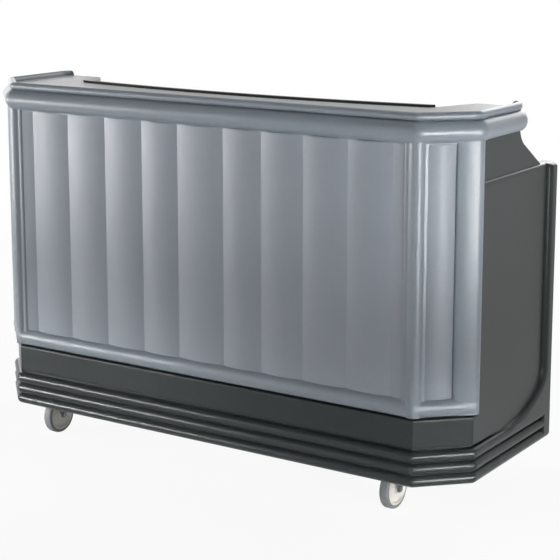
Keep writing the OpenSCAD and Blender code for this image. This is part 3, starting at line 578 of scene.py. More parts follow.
@dataclass(frozen=True)
class Foam(Finish):
    """Skinned foam of the ice bin's jacket: pale, matt and full of small cells."""

    def make(self) -> Material:
        """The finish as a material.

        Returns:
            The material.
        """
        net = self.net()
        where = net.place()
        beads, stain = net.cells(where, 230.0), net.noise(where, 6.0, 4.0)
        base = self.shades(net, (beads * 0.5 + stain * 0.5).ramp(0.2, 0.8), 0.86, 1.06)
        return net.coat(base, stain * 0.2 + 0.7, beads, 0.0012, 0.35)


@dataclass(frozen=True)
class CutSheet(Finish):
    """White cutting board: milky sheet with fine crossing knife marks."""

    def make(self) -> Material:
        """The finish as a material.

        Returns:
            The material.
        """
        net = self.net()
        along = net.noise(net.place((6.0, 420.0, 1.0)), 1.0, 3.0)
        across = net.noise(net.place((420.0, 9.0, 1.0)), 1.0, 3.0)
        marks = (along.ramp(0.6, 0.72) + across.ramp(0.6, 0.72)) * 0.5
        tone = net.noise(net.place(), 14.0, 3.0)
        base = self.shades(net, tone.ramp(0.3, 0.7), 0.94, 1.02)
        base = net.mix(marks * 0.4, base, tint((176, 172, 160)))
        return net.coat(base, tone * 0.15 + 0.42, 1.0 - marks, 0.0003, 0.3)


@dataclass(frozen=True)
class Finishes:
    """Every finish of the bar, by the record's material slots."""

    body_plastic: Moulded = Moulded("body_plastic", (38, 44, 44), 0.32, 0.06, 0.05, shine=0.24)
    trim_plastic: Moulded = Moulded("trim_plastic", (126, 134, 142), 0.38, 0.03, 0.06, rub=0.04, shine=0.55)
    panel_plastic: Moulded = Moulded("panel_plastic", (142, 148, 156), 0.44, 0.04, 0.12, shine=0.36)
    counter_plastic: Moulded = Moulded("counter_plastic", (150, 150, 152), 0.42, 0.05, 0.10, shine=0.4)
    deck_plastic: Moulded = Moulded("deck_plastic", (86, 91, 92), 0.44, 0.10, 0.08)
    pedal_plastic: Moulded = Moulded("pedal_plastic", (40, 42, 43), 0.45, 0.10, 0.03)
    hub_plastic: Moulded = Moulded("hub_plastic", (196, 193, 186), 0.36, 0.05, 0.02)
    lever_red: Moulded = Moulded("lever_red", (168, 36, 32), 0.30, 0.08, 0.02)
    stainless: Brushed = Brushed("stainless", (196, 198, 200))
    stainless_upright: Brushed = Brushed("stainless_upright", (196, 198, 200), Lay.UP)
    zinc_steel: Plated = Plated("zinc_steel", (176, 180, 182))
    caster_steel: Plated = Plated("caster_steel", (112, 115, 118), 0.46)
    valve_brass: Plated = Plated("valve_brass", (196, 160, 92), 0.30)
    tyre_rubber: Rubber = Rubber("tyre_rubber", (110, 112, 115))
    foam_jacket: Foam = Foam("foam_jacket", (206, 202, 190))
    board_white: CutSheet = CutSheet("board_white", (226, 224, 216))


class Wardrobe:
    """Makes each finish once and dresses pieces in it."""

    def __init__(self, finishes: Finishes) -> None:
        """Starts with nothing made."""
        self.finishes = finishes
        self.made: dict[str, Material] = {}

    def dress(self, piece: Piece, finish: str) -> None:
        """Gives a piece one finish all over, made at its first use.

        Args:
            piece: The piece.
            finish: The finish's name.
        """
        if finish not in self.made:
            self.made[finish] = getattr(self.finishes, finish).make()
        piece.data.materials.clear()
        piece.data.materials.append(self.made[finish])

    def fit(self, piece: Piece, finish: str, *nodes: str, slot: str = "",
            body: str = "bar_body") -> None:
        """Dresses a new piece and ties it to the frame.

        Args:
            piece: The new piece.
            finish: The finish it wears.
            nodes: The CAD nodes it stands for.
            slot: Not used.
            body: The body it rides on.
        """
        slot = slot or finish
        self.dress(piece, finish)
        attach(piece, body)
        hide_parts(*nodes)
        faces = len(piece.data.polygons)
        LOG.info("%s: %d faces, on %s, for %s", piece.name, faces, body, ", ".join(nodes))


# Plan of the body

@dataclass(frozen=True)
class Plan:
    """The bar's main lines, read from the frame, and the lines that several pieces share."""

    half_len: float
    front_y: float
    rear_y: float
    return_y: float
    skirt_z: float
    skirt_top: float
    band_top: float
    frame_z: float
    frame_top: float
    bar_z: float
    top_z: float
    wing_y: float
    corner_leg: float = 132 * MM
    post_w: float = 48 * MM
    foot_tip: float = 20 * MM
    gap_h: float = 6 * MM
    gap_in: float = 11 * MM
    roll_r: float = 34 * MM
    roll_out: float = 26 * MM
    roll_drop: float = 56 * MM

    @classmethod
    def from_frame(cls) -> "Plan":
        """The plan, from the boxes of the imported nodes.

        Returns:
            The plan.
        """
        band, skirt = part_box("plinth_band"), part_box("bumper_skirt")
        fascia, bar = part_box("fascia_frame"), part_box("bar_top")
        return cls(
            half_len=band[1].x, front_y=band[0].y, rear_y=skirt[1].y, return_y=fascia[1].y,
            skirt_z=skirt[0].z, skirt_top=skirt[1].z, band_top=band[1].z, frame_z=fascia[0].z,
            frame_top=fascia[1].z, bar_z=bar[0].z, top_z=bar[1].z, wing_y=bar[1].y,
        )

    @property
    def flat_x(self) -> float:
        """Half the straight length of the front face."""
        return self.half_len - self.corner_leg

    @property
    def corner_y(self) -> float:
        """Where the 45 degree corners meet the ends."""
        return self.front_y + self.corner_leg

    @property
    def chamfer_half(self) -> float:
        """Half the length of a 45 degree corner."""
        return self.corner_leg * ROOT_HALF

    @property
    def post_y(self) -> float:
        """Where the plain rear posts start."""
        return self.rear_y - self.post_w

    @property
    def gap_top(self) -> float:
        """Top of the gap over the ribs."""
        return self.skirt_top + self.gap_h

    @property
    def roll_z(self) -> float:
        """Height of the middle of the bar top's big roll."""
        return self.top_z - self.roll_drop


class Face(IntEnum):
    """The track's faces, in their order along it."""

    LEFT_END = 0
    LEFT_CORNER = 1
    FRONT = 2
    RIGHT_CORNER = 3
    RIGHT_END = 4


class Side(IntEnum):
    """An end of the bar, by its sign along X."""

    LEFT = -1
    RIGHT = 1

    @property
    def word(self) -> str:
        """The side as it stands in the names of pieces and nodes."""
        return self.name.lower()


ENDS = (Face.LEFT_END, Face.RIGHT_END)
SKEWS = (Face.LEFT_CORNER, Face.RIGHT_CORNER)


@dataclass(frozen=True)
class Stations:
    """Samples along a track: on a face or in the corner after it, which face, and the place there."""

    in_corner: Array
    index: Array
    place: Array

    def on(self, *faces: Face) -> Array:
        """Which samples lie on one of the faces, outside the corners."""
        return ~self.in_corner & np.isin(self.index, faces)


@dataclass(frozen=True)
class Track:
    """The body's line in plan, from the left end's rear round the front to the right end's rear.

    It has five faces and four corners rounded by an arc of radius round_r about a point that far inside.
    On face k a place c at offset out is origin + c * along + out * normal. In corner k it is
    centre + (round_r + out) * n, with n turning from one face's normal to the next.
    """

    plan: Plan
    round_r: float
    y_end: float

    def origins(self) -> Array:
        """A point of each face, from which places along it are measured.

        Returns:
            Points, 5 x 2.
        """
        p = self.plan
        mid_x, mid_y = (p.half_len + p.flat_x) / 2, (p.front_y + p.corner_y) / 2
        right = [[mid_x, mid_y], [p.half_len, 0]]
        return np.array([[-p.half_len, 0], [-mid_x, mid_y], [0, p.front_y], *right])

    @staticmethod
    def normals() -> Array:
        """Outward direction of each face."""
        s = ROOT_HALF
        return np.array([[-1, 0], [-s, -s], [0, -1], [s, -s], [1, 0]], float)

    def spans(self) -> Array:
        """Places of each face's two ends, before rounding.

        Returns:
            Places, 5 x 2.
        """
        p, c = self.plan, self.plan.chamfer_half
        left, right = [-self.y_end, -p.corner_y], [p.corner_y, self.y_end]
        return np.array([left, [-c, c], [-p.flat_x, p.flat_x], [-c, c], right])

    def tangents(self) -> Array:
        """Places on each face where the corners' arcs start and end."""
        cut = self.round_r * TURN
        return self.spans() + np.array([[0, -cut], [cut, -cut], [cut, -cut], [cut, -cut], [cut, 0]])

    def stations(self, ends: Array, skews: Array, front: Array, arc_steps: int = 8) -> Stations:
        """Samples at given places on the faces, the same left and right, and round every corner.

        Args:
            ends: Places on the right end. Here as below, those outside the face are left out.
            skews: Places on the right 45 degree face.
            front: Places on the front.
            arc_steps: Steps in each corner.

        Returns:
            The samples, in order along the track.
        """
        runs = []
        places = (-ends, -skews, front, skews, ends)
        for face, run, (low, high) in zip(Face, places, self.tangents()):
            run = np.sort(run)
            run = run[(run > low + TINY) & (run < high - TINY)]
            if face == Face.LEFT_END:
                run = np.concatenate([[low], run])
            if face == Face.RIGHT_END:
                run = np.concatenate([run, [high]])
            runs += [(False, face, run), (True, face, np.linspace(0.0, 1.0, arc_steps + 1))]
        runs.pop()
        corner, index = (np.concatenate([np.full(len(run[2]), run[i]) for run in runs]) for i in (0, 1))
        return Stations(corner, index, np.concatenate([run[2] for run in runs]))

    def grid(self, at: Stations, out: Array, z: Array) -> Array:
        """Points of a surface that is out(i, j) off the body face at height z(i, j).

        Deeper than the corner's radius, places are held back to the mitre of the two faces.

        Args:
            at: The n samples.
            out: Offsets, n x m or m.
            z: Heights, n x m or m.

        Returns:
            Points, n x m x 3.
        """
        shape = (len(at.index), np.shape(out)[-1])
        out, z = np.broadcast_to(out, shape), np.broadcast_to(z, shape)
        normals, spans = self.normals(), self.spans()
        alongs = np.stack([-normals[:, 1], normals[:, 0]], axis=1)
        k = at.index
        give_low = np.where(k > Face.LEFT_END, TURN, 0.0)[:, None] * out
        give_high = np.where(k < Face.RIGHT_END, TURN, 0.0)[:, None] * out
        c = np.clip(at.place[:, None], spans[k, 0][:, None] - give_low, spans[k, 1][:, None] + give_high)
        straight = (self.origins()[k][:, None, :] + c[:, :, None] * alongs[k][:, None, :]
                    + out[:, :, None] * normals[k][:, None, :])
        after = np.minimum(k + 1, Face.RIGHT_END)
        mitre = (normals[k] + normals[after]) / (1.0 + math.cos(BEND))
        vertex = self.origins()[k] + spans[k, 1][:, None] * alongs[k]
        angle = np.arctan2(normals[k, 1], normals[k, 0]) + at.place * BEND
        turn = np.stack([np.cos(angle), np.sin(angle)], axis=1)
        seat = np.minimum(out, -self.round_r)
        bent = (vertex[:, None, :] + seat[:, :, None] * mitre[:, None, :]
                + (out - seat)[:, :, None] * turn[:, None, :])
        flat = np.where(at.in_corner[:, None, None], bent, straight)
        return np.concatenate([flat, z[:, :, None]], axis=2)

    def ys(self, at: Stations) -> Array:
        """The y of each sample on the body's own line."""
        return self.grid(at, np.zeros(1), np.zeros(1))[:, 0, 1]

    def to_corner(self, at: Stations) -> Array:
        """Distance of each sample to the nearest corner, 0 inside one.

        Args:
            at: The samples.

        Returns:
            Distances.
        """
        low, high = self.tangents()[at.index].T
        before = np.where(at.index > Face.LEFT_END, at.place - low, 1.0)
        after = np.where(at.index < Face.RIGHT_END, high - at.place, 1.0)
        return np.where(at.in_corner, 0.0, np.minimum(before, after))


# Base

@dataclass
class Base:
    """The ribbed skirt and the plain band over it."""

    plan: Plan
    wardrobe: Wardrobe
    ribs: int = 3
    rib_steps: int = 19
    rib_out: float = 15 * MM
    groove: float = 2 * MM
    depth: float = 18 * MM
    round_r: float = 9 * MM
    rear_r: float = 8 * MM
    run_out: float = 4 * MM
    foot_run: tuple[float, float] = (-20 * MM, 70 * MM)
    band_depth: float = 26 * MM
    band_round: float = 6 * MM
    band_r: float = 4 * MM

    def rib_profile(self) -> tuple[Array, Array, Array]:
        """The ribs' section: one circular arc over each rib.

        Returns:
            Heights up the skirt's face, the offset there, and how near each is to a crown.
        """
        p = self.plan
        rib_h = (p.skirt_top - p.skirt_z) / self.ribs
        half = (rib_h - self.groove) / 2
        share = np.tile(np.sin(np.linspace(-0.5, 0.5, self.rib_steps) * math.pi), self.ribs)
        mids = p.skirt_z + rib_h * (np.repeat(np.arange(self.ribs), self.rib_steps) + 0.5)
        out = dome(share * half, 0.0, half, self.rib_out, 0.0)
        return mids + share * half, out, (1.0 - np.abs(share)) ** 2

    def build_skirt(self) -> Piece:
        """Skirt: the ribs' section swept along the track, running out into a plain post at each rear end.

        Over the run-out the offset goes from the ribs' to a flat face at the crowns' height, and behind
        the foot's tip the upper half of the top rib stays at that height up to the end wall's foot.

        Returns:
            The skirt.
        """
        p = self.plan
        track = Track(p, self.round_r, p.rear_y)
        ends = merged(guard(p.corner_y, p.rear_y, 30 * MM),
                      spread(p.post_y - 14 * MM, p.post_y + 6 * MM, 1.5 * MM),
                      spread(p.foot_tip - 30 * MM, p.foot_tip + 120 * MM, 6 * MM),
                      spread(p.rear_y - self.rear_r, p.rear_y - MM, 1.5 * MM))
        skews = guard(-p.chamfer_half, p.chamfer_half, 20 * MM, margin=12 * MM)
        front = guard(-p.flat_x, p.flat_x, 60 * MM, margin=12 * MM)
        at = track.stations(ends, skews, front, arc_steps=12)
        z, ribs, crown = self.rib_profile()
        mid = self.rib_steps // 2
        plain = np.where(z > z[mid], self.rib_out, ribs)
        y = track.ys(at)[:, None]
        foot = smooth(*self.foot_run, y - p.foot_tip)
        out = ribs + (plain - ribs) * np.where(z > z[mid - self.rib_steps], foot, 0.0)
        out = out + (plain - out) * smooth(p.post_y - self.run_out, p.post_y, y)
        out = out - round_over(y - (p.rear_y - self.rear_r), self.rear_r)
        back = np.broadcast_to([-p.gap_in, -p.gap_in, -self.depth, -self.depth], (len(y), 4))
        top = p.gap_top + MM
        grid = track.grid(at, np.hstack([out, back]), np.concatenate([z, [z[-1], top, top, z[0]]]))
        return make_piece("ribbed_skirt", swept(grid, np.concatenate([crown, np.zeros(4)])), crease=32)

    def build_band(self) -> Piece:
        """Band: a flat strip with rounded edges swept along the track, a gap over the top rib.

        Returns:
            The band.
        """
        p = self.plan
        track = Track(p, self.band_round, p.return_y)
        skews = guard(-p.chamfer_half, p.chamfer_half, 40 * MM)
        front = guard(-p.flat_x, p.flat_x, 80 * MM)
        at = track.stations(guard(p.corner_y, p.return_y, 10 * MM), skews, front)
        r, a = self.band_r, np.linspace(0.0, math.pi / 2, 5)
        edge, drop = r * np.cos(a) - r, r - r * np.sin(a)
        low, high = p.gap_top, p.band_top
        out = np.concatenate([edge[::-1], [0.0, 0.0], edge, [-self.band_depth, -self.band_depth]])
        z = np.concatenate([low + drop[::-1], [low + 3 * r, high - 3 * r], high - drop, [high, low]])
        return make_piece("plain_band", swept(track.grid(at, out, z)))

    def build(self) -> None:
        """Builds and dresses both pieces."""
        self.wardrobe.fit(self.build_skirt(), "body_plastic", "bumper_skirt")
        self.wardrobe.fit(self.build_band(), "body_plastic", "plinth_band")


# Fascia

@dataclass(frozen=True)
class Openings:
    """The fascia's openings: half the front one, the right corner's start and end, sill and head."""

    half_x: float
    start: float
    end: float
    sill: float
    head: float


@dataclass
class Fascia:
    """The gray frame with its rolls and columns, the fluted panel and the two corner flutes."""

    plan: Plan
    wardrobe: Wardrobe
    flat_out: float = 2 * MM
    low_out: float = 14 * MM
    low_rail: float = 50 * MM
    low_set: float = 1.5 * MM
    low_stop: float = 16 * MM
    rail_blend: float = 4 * MM
    lip_blend: float = 7 * MM
    column_r: float = 24 * MM
    column_out: float = 13 * MM
    flank_low: float = -3 * MM
    depth: float = 26 * MM
    lip_half: float = 8 * MM
    lip_rise: float = 4 * MM
    corner_gap: tuple[float, float] = (34 * MM, 66 * MM)
    flute_rise: float = 9 * MM
    flute_set: float = 6 * MM
    flute_edges: tuple[float, ...] = (87.5 * MM, 229.5 * MM, 380.5 * MM, 535.5 * MM, 687 * MM, 838 * MM)

    def openings(self) -> Openings:
        """The openings, from the front panel's box and the corners' margins.

        Returns:
            The openings.
        """
        low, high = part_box("flute_panel")
        c = self.plan.chamfer_half
        return Openings(high.x, -c + self.corner_gap[0], c - self.corner_gap[1], low.z, high.z)

    def build_frame(self) -> Piece:
        """Frame: a plate whose offset is the largest of its flat, its rolls and its uprights.

        The lower roll is an arc over the rail that stops at the ends, and the upper one goes on with the
        bar top's big roll.

        Returns:
            The frame.
        """
        p, gap = self.plan, self.openings()
        track = Track(p, self.column_r - self.column_out, p.return_y)
        fine, row, wide = 1.4 * MM, 1.6 * MM, 45 * MM
        c, half_x = p.chamfer_half, gap.half_x
        skews = stepped(-c, (gap.start, fine), (gap.end, 12 * MM), (c, fine))
        front = stepped(-p.flat_x, (-half_x, fine), (half_x, wide), (p.flat_x, fine))
        at = track.stations(spread(p.corner_y, p.return_y, fine), skews, front, arc_steps=12)
        z = merged(stepped(p.frame_z, (gap.sill, row), (gap.head, wide), (p.frame_top, row)),
                   spread(gap.sill, gap.sill + 14 * MM, 3 * MM),
                   spread(gap.head - 10 * MM, gap.head, 3 * MM))
        half = self.low_rail / 2
        mid = p.frame_z + half - self.low_set
        low = dome(z, mid, half, self.low_out - self.flat_out, self.flat_out)
        near = track.to_corner(at)
        stops = np.where(at.on(*ENDS), smooth(0.0, self.low_stop, near), 0.0)[:, None]
        low = low + (np.minimum(self.flat_out, low) - low) * stops
        rail = np.maximum(low, p.roll_out - p.roll_r + half_chord(p.roll_r, z - p.roll_z))
        out = soft_max(self.uprights(at, near, gap)[:, None], rail, self.rail_blend)
        inner = track.grid(at, np.full_like(out, -self.depth), z)
        wear = smooth(self.low_out - 4 * MM, self.low_out, out)
        mesh = slab(track.grid(at, out, z), inner, ~self.opened(at, z, gap), wear)
        return make_piece("fascia_surround", mesh, crease=30)

    def uprights(self, at: Stations, near: Array, gap: Openings) -> Array:
        """Offset of the frame's uprights at each sample.

        Columns are circles about the corners. A low lip, an arc, runs along the front opening. On each
        45 degree face a quarter ellipse climbs from the corner flute's outer edge to the outer column.

        Args:
            at: Samples along the track.
            near: Each sample's distance from a corner.
            gap: The openings.

        Returns:
            Offsets.
        """
        column = self.column_out - self.column_r + half_chord(self.column_r, near)
        lip_x = gap.half_x + self.lip_half
        lip = dome(np.abs(at.place), lip_x, self.lip_half, self.lip_rise, self.flat_out)
        on_front, on_skew = at.on(Face.FRONT), at.on(*SKEWS)
        plain = np.maximum(soft_max(column, np.where(on_front, lip, -1.0), self.lip_blend), self.flat_out)
        side = np.where(at.index == Face.LEFT_CORNER, -at.place, at.place)
        over_front = on_front & (np.abs(at.place) < gap.half_x - TINY)
        over_skew = on_skew & (side > gap.start + TINY) & (side <= gap.end)
        plain = np.where(over_front | over_skew, self.flank_low, plain)
        t = np.clip((side - gap.end) / (self.plan.chamfer_half - gap.end), 0.0, 1.0)
        flank = self.flank_low + (self.column_out - self.flank_low) * half_chord(1.0, 1.0 - t)
        return np.where(on_skew & (side > gap.end - TINY), flank, plain)

    @staticmethod
    def opened(at: Stations, z: Array, gap: Openings) -> Array:
        """Which cells between the samples lie in an opening.

        Args:
            at: Samples along the track.
            z: Heights of the rows.
            gap: The openings.

        Returns:
            True for each open cell.
        """
        k = at.index[1:]
        same = (k == at.index[:-1]) & ~at.in_corner[1:] & ~at.in_corner[:-1]
        mid, mid_z = (at.place[1:] + at.place[:-1]) / 2, (z[1:] + z[:-1]) / 2
        side = np.where(k == Face.LEFT_CORNER, -mid, mid)
        in_front = (k == Face.FRONT) & (np.abs(mid) < gap.half_x)
        in_skew = np.isin(k, SKEWS) & (side > gap.start) & (side < gap.end)
        return (same & (in_front | in_skew))[:, None] & (mid_z > gap.sill) & (mid_z < gap.head)

    def flute_plate(self, name: str, face: Face, place: Array, edges: Array) -> Piece:
        """Panel on a face: an arc in plan between each pair of edges, raised straight up, with a flat back.

        Args:
            name: The piece's name.
            face: The face.
            place: Places along it.
            edges: The flutes' edges, in rising order.

        Returns:
            The panel.
        """
        p, gap = self.plan, self.openings()
        cell = np.clip(np.searchsorted(edges, place, side="right") - 1, 0, len(edges) - 2)
        half, mid = (edges[cell + 1] - edges[cell]) / 2, (edges[cell] + edges[cell + 1]) / 2
        radius = (half ** 2 + self.flute_rise ** 2) / (2 * self.flute_rise)
        rise = np.maximum(self.flute_rise - radius + half_chord(radius, place - mid), 0.0)
        at = Stations(np.zeros(len(place), bool), np.full(len(place), face), place)
        z = spread(gap.sill, gap.head, 60 * MM)
        track = Track(p, 0.0, p.return_y)
        out = np.repeat((rise - self.flute_set)[:, None], len(z), axis=1)
        inner = track.grid(at, 0.0 * out - self.depth, z)
        return make_piece(name, slab(track.grid(at, out, z), inner), crease=12)

    def build(self) -> None:
        """Builds and dresses the frame and its three panels."""
        fit, gap = self.wardrobe.fit, self.openings()
        fit(self.build_frame(), "trim_plastic", "fascia_frame")
        edges = np.concatenate([-np.array(self.flute_edges[::-1]), self.flute_edges])
        x = merged(spread(-gap.half_x, gap.half_x, 5 * MM), edges[np.abs(edges) < gap.half_x])
        fit(self.flute_plate("fluted_front", Face.FRONT, x, edges), "panel_plastic", "flute_panel")
        edges = np.array([gap.start + MM, gap.end - MM])
        place = spread(*edges, 2.5 * MM)
        for side, face in zip(Side, SKEWS):
            name = f"{side.word}_corner_panel"
            panel = self.flute_plate(name, face, side * place, np.sort(side * edges))
            fit(panel, "panel_plastic", f"{side.word}_corner_flute")


# Bar top

@dataclass
class BarTop:
    """The moulded rim round the bar top and the counter sunk inside it."""

    plan: Plan
    wardrobe: Wardrobe
    round_r: float = 24 * MM
    end_r: float = 42 * MM
    end_draw: float = 20 * MM
    bead_r: float = 12.5 * MM
    bead_out: float = 8 * MM
    counter_drop: float = 16 * MM
    counter_t: float = 30 * MM
    counter_set: float = 16 * MM
    wall_set: float = 26 * MM
    apron_in: float = 76 * MM
    hem_in: float = 30 * MM
    hem_drop: tuple[float, float] = (20 * MM, 8 * MM)
    inner_drop: float = 4 * MM
    crown_h: float = 6 * MM
    bow_r: float = 4300 * MM
    bay_front: float = 200 * MM
    bay_half: tuple[float, float] = (655 * MM, 738 * MM)
    fillet: float = 45 * MM
    nose_r: float = 7 * MM
    nose_cut: float = 3 * MM

    def samples(self) -> tuple[Track, Stations, Array]:
        """The rim's line and samples along it, doubled where its underside steps up over the fascia's return.

        The rim is drawn in by a quarter ellipse, end_r long, at each wing's end.

        Returns:
            The line, the samples, and how far the rim is drawn in at each.
        """
        p = self.plan
        track = Track(p, self.round_r, p.wing_y)
        ends = merged(guard(p.corner_y, p.wing_y - self.end_r, 20 * MM),
                      [p.return_y - 10 * TINY, p.return_y + 10 * TINY],
                      p.wing_y - self.end_r * (1.0 - np.sin(np.linspace(0.0, 0.5, 13) * math.pi)))
        skews = guard(-p.chamfer_half, p.chamfer_half, 25 * MM)
        front = guard(-p.flat_x, p.flat_x, 40 * MM)
        at = track.stations(ends, skews, front, arc_steps=14)
        past = track.ys(at) - (p.wing_y - self.end_r)
        return track, at, self.end_draw * round_over(past / self.end_r, 1.0)[:, None]

    def rim_section(self, seat: float) -> tuple[Array, Array]:
        """Closed section of the rim: bead, groove, big roll, underside and apron.

        The bead and the big roll are circles that meet in the groove.

        Args:
            seat: Height at which the roll stops, and of the underside behind it.

        Returns:
            Offsets and heights, in order round the section.
        """
        p = self.plan
        bead = np.array([self.bead_out - self.bead_r, p.top_z - self.bead_r])
        roll = np.array([p.roll_out - p.roll_r, p.roll_z])
        gap = bead - roll
        dist = float(np.hypot(*gap))
        unit = gap / dist
        along = (p.roll_r ** 2 - self.bead_r ** 2 + dist ** 2) / (2 * dist)
        meet = roll + along * unit + math.sqrt(p.roll_r ** 2 - along ** 2) * np.array([unit[1], -unit[0]])
        bead_end, roll_start = (math.atan2(*(meet - mid)[::-1]) for mid in (bead, roll))
        roll_end = math.asin(np.clip((seat - p.roll_z) / p.roll_r, -1.0, 1.0))
        a = np.linspace(math.pi, bead_end, 22)
        b = np.linspace(roll_start, roll_end, 24)
        inner = p.top_z - self.counter_drop - self.inner_drop
        out = np.concatenate([
            [bead[0] - self.bead_r], bead[0] + self.bead_r * np.cos(a), roll[0] + p.roll_r * np.cos(b),
            [-self.wall_set, -self.wall_set, -self.apron_in, -self.apron_in, -self.hem_in]])
        z = np.concatenate([
            [inner], bead[1] + self.bead_r * np.sin(a), roll[1] + p.roll_r * np.sin(b),
            [seat, p.bar_z, p.bar_z, *(inner - drop for drop in self.hem_drop)]])
        return out, z

    def build_rim(self) -> Piece:
        """Rim: the section swept along the track, lower behind the fascia's return than over it.

        Returns:
            The rim.
        """
        p = self.plan
        track, at, draw = self.samples()
        over_frame = (track.ys(at) < p.return_y)[:, None]
        sections = zip(self.rim_section(p.frame_top), self.rim_section(p.bar_z))
        out, z = (np.where(over_frame, high, low) for high, low in sections)
        out = np.maximum(out - draw, np.minimum(out, -self.apron_in))
        crown = smooth(p.top_z - self.crown_h, p.top_z, z)
        return make_piece("bar_rim", swept(track.grid(at, out, z), crown), crease=30)

    def bay_line(self, count: int) -> Array:
        """The counter's inner edge from the left wing's end round the bow to the right wing's end.

        The bow is a circle of radius bow_r, the wings' inner edges are straight, and a quadratic curve
        rounds the corner between them.

        Args:
            count: Points on each of the line's parts.

        Returns:
            Points.
        """
        p = self.plan
        bay_y = p.front_y + self.bay_front
        front, rear = np.array([self.bay_half[0], bay_y]), np.array([self.bay_half[1], p.wing_y])
        side = front + (rear - front) * np.linspace(0.0, 1.0, 4001)[:, None]
        bow_y = bay_y + round_over(side[:, 0], self.bow_r)
        corner = side[int(np.argmin(np.abs(bow_y - side[:, 1])))]
        leave = corner + self.fillet * (rear - corner) / np.hypot(*(rear - corner))
        bow_x = np.linspace(0.0, corner[0] - self.fillet, count)
        bow = np.stack([bow_x, bay_y + round_over(bow_x, self.bow_r)], axis=1)
        u = np.linspace(0.0, 1.0, count)[:, None]
        bend = (1 - u) ** 2 * bow[-1] + 2 * u * (1 - u) * corner + u ** 2 * leave
        wing = leave + (rear - leave) * u
        half = np.vstack([bow, bend[1:], wing[1:]])
        return np.vstack([half[::-1] * np.array([-1.0, 1.0]), half[1:]])

    def build_counter(self) -> Piece:
        """Counter: lines from the rim to the bay's edge, with a rounded nose and a flat underside.

        Returns:
            The counter.
        """
        p = self.plan
        track, at, draw = self.samples()
        outer = track.grid(at, -self.counter_set - draw, np.zeros(1))[:, 0, :2]
        line = self.bay_line(60)
        run, far = lengths(outer), lengths(line)
        wing = p.wing_y - p.corner_y + 2 * p.chamfer_half
        bend = far[np.argmax(line[:, 0] > -self.bay_half[0] + self.fillet)]
        where = np.interp(run, [0.0, wing, run[-1] - wing, run[-1]], [0.0, bend, far[-1] - bend, far[-1]])
        edge, slope = (np.stack([np.interp(where, far, v[:, i]) for i in (0, 1)], axis=1)
                       for v in (line, np.gradient(line, far, axis=0)))
        inward = np.stack([-slope[:, 1], slope[:, 0]], axis=1)
        inward /= np.hypot(*slope.T)[:, None]
        r, cut, deep = self.nose_r, self.nose_cut, self.counter_t
        a = np.linspace(math.pi / 2, 0.0, 7)
        d = np.concatenate([-r + r * np.cos(a), [0.0, -cut]])
        dz = np.concatenate([np.zeros(3), -r + r * np.sin(a), [cut - deep, -deep, -deep]])
        nose = edge[:, None, :] + d[None, :, None] * inward[:, None, :]
        outer = outer[:, None, :]
        rows = outer + np.array([0.0, 0.3, 0.8])[None, :, None] * (nose[:, :1] - outer)
        flat = np.concatenate([rows, nose, outer], axis=1)
        z = np.broadcast_to((p.top_z - self.counter_drop + dz)[None, :, None], flat.shape[:2] + (1,))
        return make_piece("counter", swept(np.concatenate([flat, z], axis=2)), crease=30)

    def build(self) -> None:
        """Builds and dresses the rim and the counter."""
        self.wardrobe.fit(self.build_rim(), "trim_plastic", "bar_top")
        self.wardrobe.fit(self.build_counter(), "counter_plastic", "bar_top", slot="trim_plastic")


# End walls

